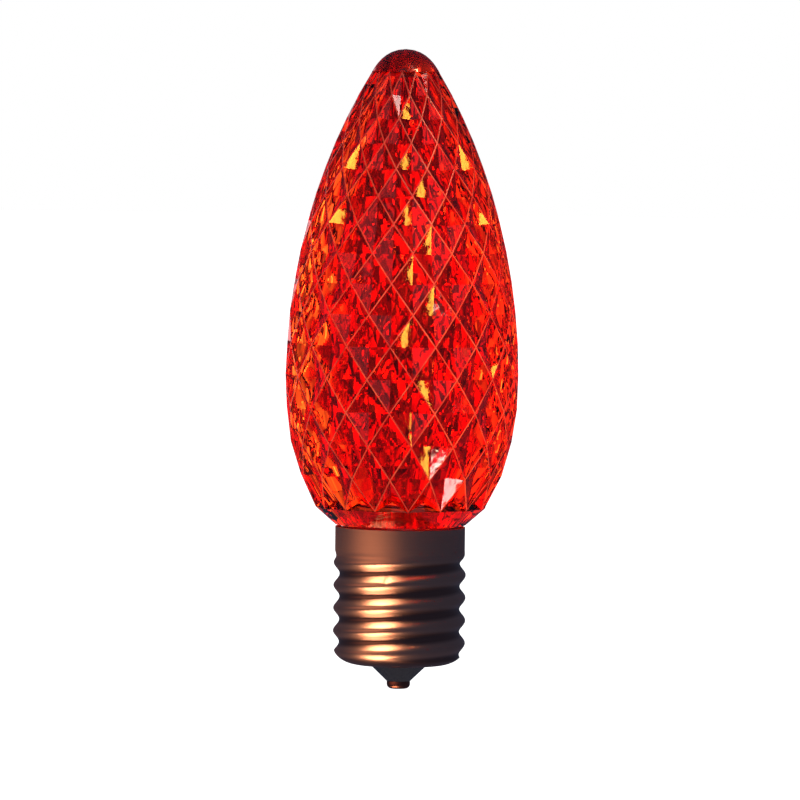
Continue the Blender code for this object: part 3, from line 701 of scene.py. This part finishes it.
def make_placing_tree():
    """Stands a copy of a piece at the middle of the board, and others in a ring round it."""
    tree, given = start_shape_tree(
        "placed_copies",
        {
            "Piece": "NodeSocketObject",
            "Count": "NodeSocketInt",
            "Ring radius": "NodeSocketFloat",
            "First azimuth": "NodeSocketFloat",
            "Material": "NodeSocketMaterial",
        },
    )
    start = given["Geometry"]
    ring = start.node(
        "GeometryNodeMeshCircle", {}, {"Vertices": given["Count"], "Radius": given["Ring radius"]}
    )
    turn = start.vector(0.0, 0.0, given["First azimuth"])
    ring = start.node("GeometryNodeTransform", {}, {"Geometry": ring, "Rotation": turn})
    places = start.node("GeometryNodeJoinGeometry", {}, {"Geometry": ring})
    middle = start.node("GeometryNodeMeshLine", {}, {"Count": 1})
    tree.links.new(middle.socket, places.socket.node.inputs["Geometry"])
    piece = start.node("GeometryNodeObjectInfo", {}, {"Object": given["Piece"]}, "Geometry")
    shape = start.node("GeometryNodeInstanceOnPoints", {}, {"Points": places, "Instance": piece})
    finish_shape_tree(shape, given["Material"])
    return tree


PLACING = make_placing_tree()


def placed(name, single, material):
    """Copies of a single piece for all the lamps."""
    holder = bpy.data.objects.new(name, bpy.data.meshes.new(name))
    bpy.context.scene.collection.objects.link(holder)
    sizes = {
        "Piece": single,
        "Count": RING_LAMPS,
        "Ring radius": RING_RADIUS,
        "First azimuth": RING_AZIMUTH,
        "Material": material,
    }
    formed(holder, PLACING, sizes)
    bpy.data.objects.remove(single)
    return smooth(holder)


def make_lamp_resin():
    material, shader, place = start_finish("lamp_resin")
    cloud = mottle(place, grains=700.0, detail=2.0)
    return settle(
        material,
        shader,
        Base_Color=blend_colours(cloud, *LAMP_RESIN),
        Roughness=0.08 + 0.06 * cloud,
        Transmission_Weight=0.9,
        IOR=1.53,
    )


lamp_resin = make_lamp_resin()
lamp_shoulder = (0.0, LAMP_BOTTOM + LAMP_HEIGHT - LAMP_RADIUS)
lamp_profile = [
    (0.0, LAMP_BOTTOM),
    (LAMP_RIM_RADIUS - LAMP_EDGE, LAMP_BOTTOM),
    (LAMP_RIM_RADIUS, LAMP_BOTTOM + LAMP_EDGE),
    (LAMP_RIM_RADIUS, LAMP_BOTTOM + LAMP_RIM_HEIGHT - LAMP_EDGE),
    (LAMP_RIM_RADIUS - LAMP_EDGE, LAMP_BOTTOM + LAMP_RIM_HEIGHT),
    (LAMP_RADIUS, LAMP_BOTTOM + LAMP_RIM_HEIGHT),
    *rounded(lamp_shoulder, LAMP_RADIUS, LAMP_RADIUS, start=0, end=90, steps=LAMP_DOME_STEPS)[:-1],
    (0.0, LAMP_BOTTOM + LAMP_HEIGHT),
]
single_lamp = turned("single_lamp", lamp_profile, LAMP_STEPS, lamp_resin)
lamps = placed("domed_lamps", single_lamp, lamp_resin)
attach(lamps, "root")
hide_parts(*LAMPS)

cup_top = LAMP_BOTTOM + CUP_RISE
cup_profile = [
    (0.0, LAMP_BOTTOM + LAMP_EDGE),
    (POST_RADIUS, LAMP_BOTTOM + LAMP_EDGE),
    (POST_RADIUS, cup_top - 2 * CUP_DEPTH),
    (CUP_RADIUS, cup_top - CUP_DEPTH),
    (CUP_RADIUS, cup_top),
    (CUP_FLOOR_RADIUS, cup_top - CUP_DEPTH),
    (0.0, cup_top - CUP_DEPTH),
]
single_frame = turned("single_frame", cup_profile, FRAME_STEPS, tinned_wire)
lamp_frames = placed("lamp_frames", single_frame, tinned_wire)
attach(lamp_frames, "root")

# Lens. One hollow moulding of clear red plastic is cut all over with shallow diamond facets, each with its
# middle sunk between four ridges. A plain ring closes the facets off below, a neck under it presses into
# the collar, and the tip is a small plain dome. Shallow prisms inside break up what is seen through it.
NECK_RADIUS = 7.5 * MM
NECK_BORE = 6.4 * MM
NECK_BOTTOM = 17.51 * MM
RING_BOTTOM_RADIUS = 8.1 * MM
RING_TOP_RADIUS = 10.6 * MM
RING_HEIGHT = 2.2 * MM
RING_BOTTOM = COLLAR_TOP + CLEARANCE
RING_TOP = RING_BOTTOM + RING_HEIGHT
FACETED_HEIGHT = 56.6 * MM
LENS_RADIUS = 14.50 * MM
LENS_TIP = RING_TOP + FACETED_HEIGHT
WIDEST_RISE = 15.9 * MM
WIDEST_HEIGHT = RING_TOP + WIDEST_RISE
DOME_RADIUS = 4.2 * MM
DOME_HEIGHT = 2.85 * MM
DOME_BOTTOM = LENS_TIP - DOME_HEIGHT
DOME_BANDS = 8
OUTLINE_STEPS = 80
HANDLE_OVER_RING = (0.92, 0.37)
HANDLE_UNDER_WIDEST = (0.0, -0.235)
HANDLE_OVER_WIDEST = (0.0, 0.436)
HANDLE_UNDER_DOME = (0.466, -0.206)
HANDLE_OVER_DOME = (-0.08, 0.19)
HANDLE_AT_TIP = (0.648, 0.0)
LENS_WALL = 2.0 * MM
BORE_RISE = 0.9 * MM
BORE_TOP = RING_BOTTOM + BORE_RISE
FACET_COLUMNS = 16
FACET_ROWS = 15
ROW_TAPER = 0.71
FACET_DEPTH = 1.0 * MM
FACET_AZIMUTH = math.radians(-84.8)
RIDGE_WIDTH = 0.18 * MM
RIDGE_SEGMENTS = 3
RIDGE_SLOT = 1
LEDGE_RISE = 0.8 * MM
SHADE_START = 53.0 * MM
CAP_HAZE = 1.6 * MM
PLASTIC_COLOUR = (0.97, 0.25, 0.10, 1.0)
PLASTIC_DENSITY = 170.0
PLASTIC_IOR = 1.49
PLASTIC_RED = ((0.93, 0.13, 0.020), (0.97, 0.17, 0.028))
# Painted shade: the darker red the facets take on towards the tip.
PLASTIC_PAINTED_TIP_SHADE = (0.34, 0.008, 0.008)
RIDGE_RED = ((0.74, 0.04, 0.018), (1.0, 0.14, 0.045))
# Painted shade: the darker red the ridges take on towards the tip.
RIDGE_PAINTED_TIP_SHADE = (0.30, 0.03, 0.02)
FLOW_GRAINS = 160.0
HOLLOW_STEPS = 198
HOLLOW_FIRST_STEP = 18
HOLLOW_END_RADIUS = 0.3 * MM
TIP_WALL = 3.6 * MM
HOLLOW_TOP = LENS_TIP - TIP_WALL
HOLLOW_COLUMNS = 312
PRISM_COUNT = 13
PRISM_HEIGHT = 5.6 * MM
PRISM_DEPTH = 0.50 * MM
PRISM_FADE = 3.0 * MM
PRISM_CREASE = math.radians(3.5)


def lens_outline():
    """Close points up the lens, from its ring to the dome, and then over the dome to the tip. The curve's
    handles are shares of the width and the height of their stretch."""
    ring = (RING_TOP_RADIUS, RING_TOP)
    widest = (LENS_RADIUS, WIDEST_HEIGHT)
    dome_edge = (DOME_RADIUS, DOME_BOTTOM)
    stretches = [
        (ring, HANDLE_OVER_RING, HANDLE_UNDER_WIDEST, widest),
        (widest, HANDLE_OVER_WIDEST, HANDLE_UNDER_DOME, dome_edge),
        (dome_edge, HANDLE_OVER_DOME, HANDLE_AT_TIP, (0.0, LENS_TIP)),
    ]
    lines = []
    for start, out, back, end in stretches:
        width = abs(end[0] - start[0])
        rise = end[1] - start[1]
        handle_out = (start[0] + out[0] * width, start[1] + out[1] * rise)
        handle_back = (end[0] + back[0] * width, end[1] + back[1] * rise)
        knots = [Vector((*p, 0)) for p in (start, handle_out, handle_back, end)]
        lines.append([p.to_2d() for p in interpolate_bezier(*knots, OUTLINE_STEPS)])
    return lines[0] + lines[1][1:], lines[2]


def along(points, distance):
    """The place at this distance along a line of points, and the outward normal there."""
    for start, end in zip(points, points[1:]):
        step = (end - start).length
        if distance <= step or end is points[-1]:
            direction = (end - start).normalized()
            return start + direction * distance, Vector((direction.y, -direction.x))
        distance -= step


def length_of(points):
    return sum((b - a).length for a, b in zip(points, points[1:]))


def deepen(material, colour, density):
    """Clear plastic that takes up light on its way through."""
    tree = material.node_tree
    absorb = Signal(tree).node("ShaderNodeVolumeAbsorption", {}, {"Color": colour, "Density": density})
    tree.links.new(absorb.socket, tree.nodes["Material Output"].inputs["Volume"])
    return material


def make_clear_red():
    """The faceted side, with painted shade darkening its red towards the tip, and hazy over the dome."""
    material, shader, place = start_finish("clear_red_plastic")
    flow = mottle(place, FLOW_GRAINS, detail=2.0)
    ripple = mottle(place, grains=700.0, detail=1.0)
    height = place.parts()[2]
    # Painted shade: the red darkens from SHADE_START up to the tip.
    tip = height.ramp(SHADE_START, LENS_TIP)
    cap = height.ramp(DOME_BOTTOM - CAP_HAZE / 2, DOME_BOTTOM + CAP_HAZE / 2)
    settle(
        material,
        shader,
        Base_Color=blend_colours(tip, blend_colours(flow, *PLASTIC_RED), PLASTIC_PAINTED_TIP_SHADE),
        Roughness=0.02 + 0.03 * ripple + 0.22 * cap,
        Transmission_Weight=1.0,
        IOR=PLASTIC_IOR,
        Normal=bump(ripple, distance=0.03 * MM, strength=0.2),
    )
    return deepen(material, PLASTIC_COLOUR, PLASTIC_DENSITY)


def make_inner_red():
    """The side the core of the mould gives, polished smoother than the facets."""
    material, shader, place = start_finish("inner_red_plastic")
    flow = mottle(place, FLOW_GRAINS, detail=2.0)
    settle(
        material,
        shader,
        Base_Color=blend_colours(flow, *PLASTIC_RED),
        Roughness=0.015 + 0.02 * flow,
        Transmission_Weight=1.0,
        IOR=PLASTIC_IOR,
    )
    return deepen(material, PLASTIC_COLOUR, PLASTIC_DENSITY)


def make_ridge_red():
    """The rounded ridges, less clear than the facets since they scatter light."""
    material, shader, place = start_finish("moulded_ridge")
    wear = mottle(place, grains=300.0, detail=2.0).ramp(0.36, 0.64)
    # Painted shade: the red darkens from SHADE_START up to the tip.
    tip = place.parts()[2].ramp(SHADE_START, LENS_TIP)
    settle(
        material,
        shader,
        Base_Color=blend_colours(tip, blend_colours(wear, *RIDGE_RED), RIDGE_PAINTED_TIP_SHADE),
        Roughness=0.20 + 0.10 * wear,
        Transmission_Weight=0.45,
        IOR=PLASTIC_IOR,
    )
    return deepen(material, PLASTIC_COLOUR, PLASTIC_DENSITY)


side, dome = lens_outline()
row_shares = [1 + (ROW_TAPER - 1) * i / (FACET_ROWS - 1) for i in range(FACET_ROWS)]
row_unit = length_of(side) / sum(row_shares)
rows = [along(side, row_unit * sum(row_shares[:i])) for i in range(FACET_ROWS + 1)]

# Each row of the lens: its radius and height, how far its sunk points lie in, whether its nodes are
# offset by a step, and whether ridges meet there.
level_row = (0.0, 0.0, 0.0)
plain = (level_row, 0.0, 0.0)
lens_rows = [
    ((0.0, NECK_BOTTOM), *plain),
    ((NECK_RADIUS, NECK_BOTTOM), *plain),
    ((NECK_RADIUS, RING_BOTTOM), *plain),
    ((RING_BOTTOM_RADIUS, RING_BOTTOM), *plain),
    ((RING_TOP_RADIUS, RING_TOP), level_row, 0.0, 1.0),
]
for number, (place, normal) in enumerate(rows):
    depth = FACET_DEPTH * place.x / LENS_RADIUS
    rise = LEDGE_RISE if number == 0 else 0.0
    sink = (normal.x * depth, 0.0, normal.y * depth - rise)
    lens_rows.append((tuple(place), sink, float(number % 2), 1.0))
lens_rows.append((tuple(rows[-1][0]), level_row, float(FACET_ROWS % 2), 1.0))
for i in range(1, DOME_BANDS + 1):
    lens_rows.append((tuple(dome[i * (len(dome) - 1) // DOME_BANDS]), *plain))

clear_red = make_clear_red()
clear_ridge = make_ridge_red()
lens = turned(
    "faceted_lens",
    [row[0] for row in lens_rows],
    2 * FACET_COLUMNS,
    clear_red,
    FACET_AZIMUTH,
    {
        "sink": ("FLOAT_VECTOR", "vector", [part for row in lens_rows for part in row[1]]),
        "offset": ("FLOAT", "value", [row[2] for row in lens_rows]),
        "node": ("FLOAT", "value", [row[3] for row in lens_rows]),
    },
)
lens.data.materials.append(clear_ridge)
ridges = lens.modifiers.new("ridges", "BEVEL")
ridges.limit_method = "WEIGHT"
ridges.width = RIDGE_WIDTH / 2
ridges.segments = RIDGE_SEGMENTS
ridges.material = RIDGE_SLOT

outline = side + dome[1:]
hollow_step = length_of(outline) / HOLLOW_STEPS
hollow_profile = [(0.0, NECK_BOTTOM - LENS_WALL), (NECK_BORE, NECK_BOTTOM - LENS_WALL)]
hollow_profile.append((NECK_BORE, BORE_TOP))
for i in range(HOLLOW_FIRST_STEP, HOLLOW_STEPS + 1):
    place, normal = along(outline, hollow_step * i)
    inside = place - normal * LENS_WALL
    if inside.x > HOLLOW_END_RADIUS and inside.y < HOLLOW_TOP:
        hollow_profile.append(tuple(inside))
hollow_profile.append((0.0, HOLLOW_TOP))
inner_red = make_inner_red()
hollow = turned("lens_hollow", hollow_profile, HOLLOW_COLUMNS, inner_red)


def make_prism_tree():
    """Cuts shallow crossed prisms into a core, so that they stand up on the wall of what it hollows."""
    tree, given = start_shape_tree(
        "prismatic_core",
        {
            "Count": "NodeSocketFloat",
            "Height": "NodeSocketFloat",
            "Depth": "NodeSocketFloat",
            "Material": "NodeSocketMaterial",
        },
    )
    shape = given["Geometry"]
    place = shape.node("GeometryNodeInputPosition")
    x, y, height = place.parts()
    turn = place.math("ARCTAN2", x, y) / math.tau * given["Count"]
    climb = height / given["Height"]
    prisms = place.math("PINGPONG", turn + climb, 0.5) + place.math("PINGPONG", turn - climb, 0.5)
    fade = height.ramp(BORE_TOP, BORE_TOP + PRISM_FADE)
    ratio = 1 - given["Depth"] * prisms * fade / LENS_RADIUS
    moved = place.vector(x * ratio, y * ratio, height)
    shape = shape.node("GeometryNodeSetPosition", {}, {"Geometry": shape, "Position": moved})
    finish_shape_tree(shape, given["Material"])
    return tree


formed(
    hollow,
    make_prism_tree(),
    {
        "Count": float(PRISM_COUNT),
        "Height": PRISM_HEIGHT,
        "Depth": PRISM_DEPTH,
        "Material": inner_red,
    },
)


def make_hollowing_tree():
    """Cuts another shape out of a piece."""
    tree, given = start_shape_tree(
        "hollowed_piece", {"Hollow": "NodeSocketObject", "Material": "NodeSocketMaterial"}
    )
    shape = given["Geometry"]
    cutter = shape.node("GeometryNodeObjectInfo", {}, {"Object": given["Hollow"]}, "Geometry")
    shape = shape.node(
        "GeometryNodeMeshBoolean",
        {"operation": "DIFFERENCE", "solver": "EXACT"},
        {"Mesh 1": shape, "Mesh 2": cutter},
    )
    body = shape.node("GeometryNodeMaterialSelection", {}, {"Material": given["Material"]})
    finish_shape_tree(shape, given["Material"], body)
    return tree


formed(lens, make_hollowing_tree(), {"Hollow": hollow, "Material": clear_red})
bpy.data.objects.remove(hollow)

# The facets stay flat, and the hollow's wall is smooth between the edges of its prisms.
smooth(lens)
for face in lens.data.polygons:
    outward = face.normal.x * face.center.x + face.normal.y * face.center.y > 0
    face.use_smooth = not (outward and RING_TOP < face.center.z < DOME_BOTTOM)
inner_slot = lens.data.materials.find(inner_red.name)
creased = bmesh.new()
creased.from_mesh(lens.data)
for edge in creased.edges:
    inside = all(face.material_index == inner_slot for face in edge.link_faces)
    if inside and edge.calc_face_angle(0.0) > PRISM_CREASE:
        edge.smooth = False
creased.to_mesh(lens.data)
creased.free()
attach(lens, "root")
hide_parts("lens")

# Studio. A pale floor under a white sweep. Warm soft lights above and below colour the metal, a wide pale
# panel stands in front of the lens, and slim warm tubes near it flash in single facets. Every light shines
# on one group of pieces only, and the world shows each kind of ray its own surroundings.
VIEW_DISTANCE = 1.0
VIEW_ELEVATION = math.radians(3.0)
VIEW_ROLL = math.radians(0.7)
VIEW_TARGET = Vector((-0.22 * MM, 0.0, 35.8 * MM))
VIEW_WIDTH = 99.0 * MM
SENSOR_WIDTH = 36.0
FLOOR_SIZE = 4.0
FLOOR_DROP = 0.5 * MM
WHITE = (1.0, 1.0, 1.0)
SWEEP_GREY = (0.8, 0.8, 0.8)
ROOM_BLUE = (0.048, 0.058, 0.095)
ROOM_RED = (1.60, 0.30, 0.20)
ROOM_GOLD = (1.1, 1.35, 0.8)
DEEP_AMBER = (1.0, 0.45, 0.20)
RUST_AMBER = (1.0, 0.42, 0.20)
ROSE_AMBER = (1.0, 0.42, 0.22)
PALE_AMBER = (1.0, 0.56, 0.30)
CORAL = (1.0, 0.44, 0.24)
MAUVE = (0.70, 0.50, 0.60)
PINK = (1.0, 0.72, 0.74)
PALE_PINK = (1.0, 0.72, 0.68)
CREAM = (1.0, 0.8, 0.7)
SALMON = (1.0, 0.65, 0.60)
GLINT_YELLOW = (1.0, 0.45, 0.05)

# Each light: its azimuth and elevation in degrees, its distance, its width and height, and its radiance
# and colour.
INSIDE_LIGHTS = {
    "board_fill": (-10.0, 60.0, 0.40, (0.30, 0.30), 4.0, WHITE),
}
METAL_LIGHTS = {
    "metal_key": (-51.0, 4.0, 0.50, (0.40, 0.30), 0.55, DEEP_AMBER),
    "metal_wash": (-51.0, 4.0, 0.52, (0.80, 0.30), 0.40, RUST_AMBER),
    "metal_spill": (-56.0, 4.0, 0.54, (1.30, 0.30), 0.16, ROSE_AMBER),
    "metal_top_light": (-58.0, 60.0, 0.50, (0.30, 0.22), 13.5, PALE_AMBER),
    "table_glow": (-58.0, -62.0, 0.50, (0.30, 0.22), 11.5, PALE_AMBER),
}
LENS_LIGHTS = {
    "ridge_light": (42.0, 45.0, 0.50, (0.07, 0.07), 130.0, CORAL),
    "front_panel": (0.0, 24.0, 0.70, (0.70, 0.85), 0.5, MAUVE),
    "left_rim_light": (-150.0, 4.0, 0.50, (0.14, 0.24), 2.2, PINK),
    "low_glint": (28.6, -32.2, 0.30, (0.003, 0.009), 22.0, PALE_PINK),
    "front_glint": (5.5, -12.1, 0.30, (0.0015, 0.005), 40.0, CREAM),
    "top_glint": (32.6, 65.5, 0.30, (0.020, 0.020), 16.0, SALMON),
}
FRONT_GLINT_LEAN = math.radians(-36.0)

# Each tube: its azimuth in degrees, its width, and the heights of its ends.
TUBES = (
    (-51.4, 2.2 * MM, 57.0 * MM, 63.5 * MM),
    (-51.4, 1.4 * MM, 79.5 * MM, 88.0 * MM),
    (32.8, 0.6 * MM, 4.0 * MM, 72.0 * MM),
    (35.2, 0.6 * MM, 80.0 * MM, 91.0 * MM),
    (40.7, 0.8 * MM, 106.0 * MM, 118.0 * MM),
    (53.9, 0.6 * MM, 4.0 * MM, 62.0 * MM),
    (55.1, 0.6 * MM, 68.0 * MM, 79.0 * MM),
    (70.9, 1.6 * MM, 57.0 * MM, 62.5 * MM),
    (70.9, 1.2 * MM, 77.5 * MM, 84.0 * MM),
)
TUBE_DISTANCE = 69.0 * MM
TUBE_RADIANCE = 34.0

camera_data = bpy.data.cameras.new("studio_camera")
camera = bpy.data.objects.new("studio_camera", camera_data)
bpy.context.scene.collection.objects.link(camera)
back = Vector((0.0, -math.cos(VIEW_ELEVATION), math.sin(VIEW_ELEVATION)))
camera.location = VIEW_TARGET + back * VIEW_DISTANCE
turn = (-back).to_track_quat("-Z", "Y").to_matrix().to_4x4()
camera.rotation_euler = turn.to_euler()
camera.rotation_euler.rotate_axis("Z", VIEW_ROLL)
camera_data.sensor_width = SENSOR_WIDTH
camera_data.lens = SENSOR_WIDTH * VIEW_DISTANCE / VIEW_WIDTH
camera_data.clip_start = 0.01
camera_data.clip_end = 20.0
bpy.context.scene.camera = camera

floor_mesh = bpy.data.meshes.new("studio_floor")
half = FLOOR_SIZE / 2
floor_mesh.from_pydata(
    [(-half, -half, 0), (half, -half, 0), (half, half, 0), (-half, half, 0)], [], [(0, 1, 2, 3)]
)
floor = bpy.data.objects.new("studio_floor", floor_mesh)
floor.location.z = -FLOOR_DROP
bpy.context.scene.collection.objects.link(floor)
floor_finish, floor_shader, _ = start_finish("pale_floor")
settle(
    floor_finish,
    floor_shader,
    Base_Color=(*SWEEP_GREY, 1.0),
    Emission_Color=(*WHITE, 1.0),
    Emission_Strength=1.0,
)
floor_mesh.materials.append(floor_finish)
floor.visible_glossy = False
floor.visible_transmission = False
floor.visible_diffuse = False
floor.visible_shadow = False


def add_light(name, azimuth, elevation, distance, size, radiance, colour, lit, shading=None):
    """A soft light that faces the bulb's middle, from this azimuth to the right of the front. It falls on
    one group of pieces, and may be shaded by one."""
    data = bpy.data.lights.new(name, "AREA")
    data.shape = "RECTANGLE"
    data.size, data.size_y = size
    data.energy = radiance * math.pi * size[0] * size[1]
    data.color = colour
    light = bpy.data.objects.new(name, data)
    bpy.context.scene.collection.objects.link(light)
    light.light_linking.receiver_collection = lit
    light.light_linking.blocker_collection = shading
    a, e = math.radians(azimuth), math.radians(elevation)
    away = Vector((math.sin(a) * math.cos(e), -math.cos(a) * math.cos(e), math.sin(e)))
    light.location = VIEW_TARGET + away * distance
    light.rotation_euler = away.to_track_quat("Z", "Y").to_euler()
    light.visible_camera = False
    return light


def gather(name, pieces):
    """The pieces that a light falls on."""
    group = bpy.data.collections.new(name)
    for piece in pieces:
        group.objects.link(piece)
    return group


metal_parts = gather("lit_metal", [shell, contact])
lens_parts = gather("lit_lens", [lens])
inner_nodes = [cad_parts[name] for name in ("circuit_board", "led_holder")]
inner_parts = gather("lit_inside", [lamps, lamp_frames, *inner_nodes])
for name, settings in INSIDE_LIGHTS.items():
    add_light(name, *settings, inner_parts, inner_parts)
for name, settings in METAL_LIGHTS.items():
    add_light(name, *settings, metal_parts)
lens_lights = {name: add_light(name, *settings, lens_parts) for name, settings in LENS_LIGHTS.items()}
lens_lights["front_glint"].rotation_euler.rotate_axis("Z", FRONT_GLINT_LEAN)
for number, (azimuth, width, bottom, top) in enumerate(TUBES):
    size = (width, top - bottom)
    settings = (azimuth, 0.0, TUBE_DISTANCE, size, TUBE_RADIANCE, GLINT_YELLOW)
    tube = add_light(f"glint_tube_{number}", *settings, lens_parts)
    tube.location.z = (bottom + top) / 2

world = bpy.data.worlds.new("studio_world")
world.use_nodes = True
bpy.context.scene.world = world
room = Signal(world.node_tree)
facing = room.node("ShaderNodeTexCoord", output="Generated")
x, y, z = facing.parts()

# The azimuth is counted from straight behind the bulb, and wavers so that no edge in the room is straight.
drift = mottle(facing, grains=3.0, detail=1.0)
azimuth = room.math("ARCTAN2", x, y) + drift * 0.24 - 0.12
across = room.math("ABSOLUTE", azimuth + 0.06)
beside = across.ramp(0.14, 0.38)
wide = across.ramp(0.6, 1.3)
high = z.ramp(-0.10, 0.12)
upward = z.ramp(0.16, 0.28)
overhead = z.ramp(0.30, 0.42) * z.ramp(0.90, 0.70)
below = z.ramp(-0.28, -0.48)
patches = drift.ramp(0.40, 0.56)
sparks = 8.0 * mottle(facing, grains=6.0, detail=0.0).ramp(0.68, 0.74) * (1 - wide)

# The room is dark straight behind the bulb, bright to its sides, and bright again overhead and below.
glow = 0.34 + 0.38 * high + 0.35 * upward + 0.60 * patches
level = 0.04 + 0.10 * high + beside * glow * (1 - 0.5 * wide)
level = level + sparks + 0.8 * overhead + 0.75 * below
warm = (0.35 - azimuth * 2.0 * (1 - wide) + sparks).clamped() * (1 - 0.75 * wide)
warmth = blend_colours(warm, ROOM_RED, ROOM_GOLD)
studio = room.node("ShaderNodeVectorMath", {"operation": "SCALE"}, {0: warmth, "Scale": level})

# The camera sees a white sweep, scattered rays an even grey, reflected rays a dim blue, and only rays
# through the lens see the room.
seen = room.node("ShaderNodeLightPath", output="Is Camera Ray")
tone = blend_colours(seen.output("Is Transmission Ray"), ROOM_BLUE, studio)
tone = blend_colours(seen.output("Is Diffuse Ray"), tone, SWEEP_GREY)
tone = blend_colours(seen, tone, WHITE)
world.node_tree.links.new(tone.socket, world.node_tree.nodes["Background"].inputs["Color"])

bpy.context.scene.view_settings.view_transform = "Standard"
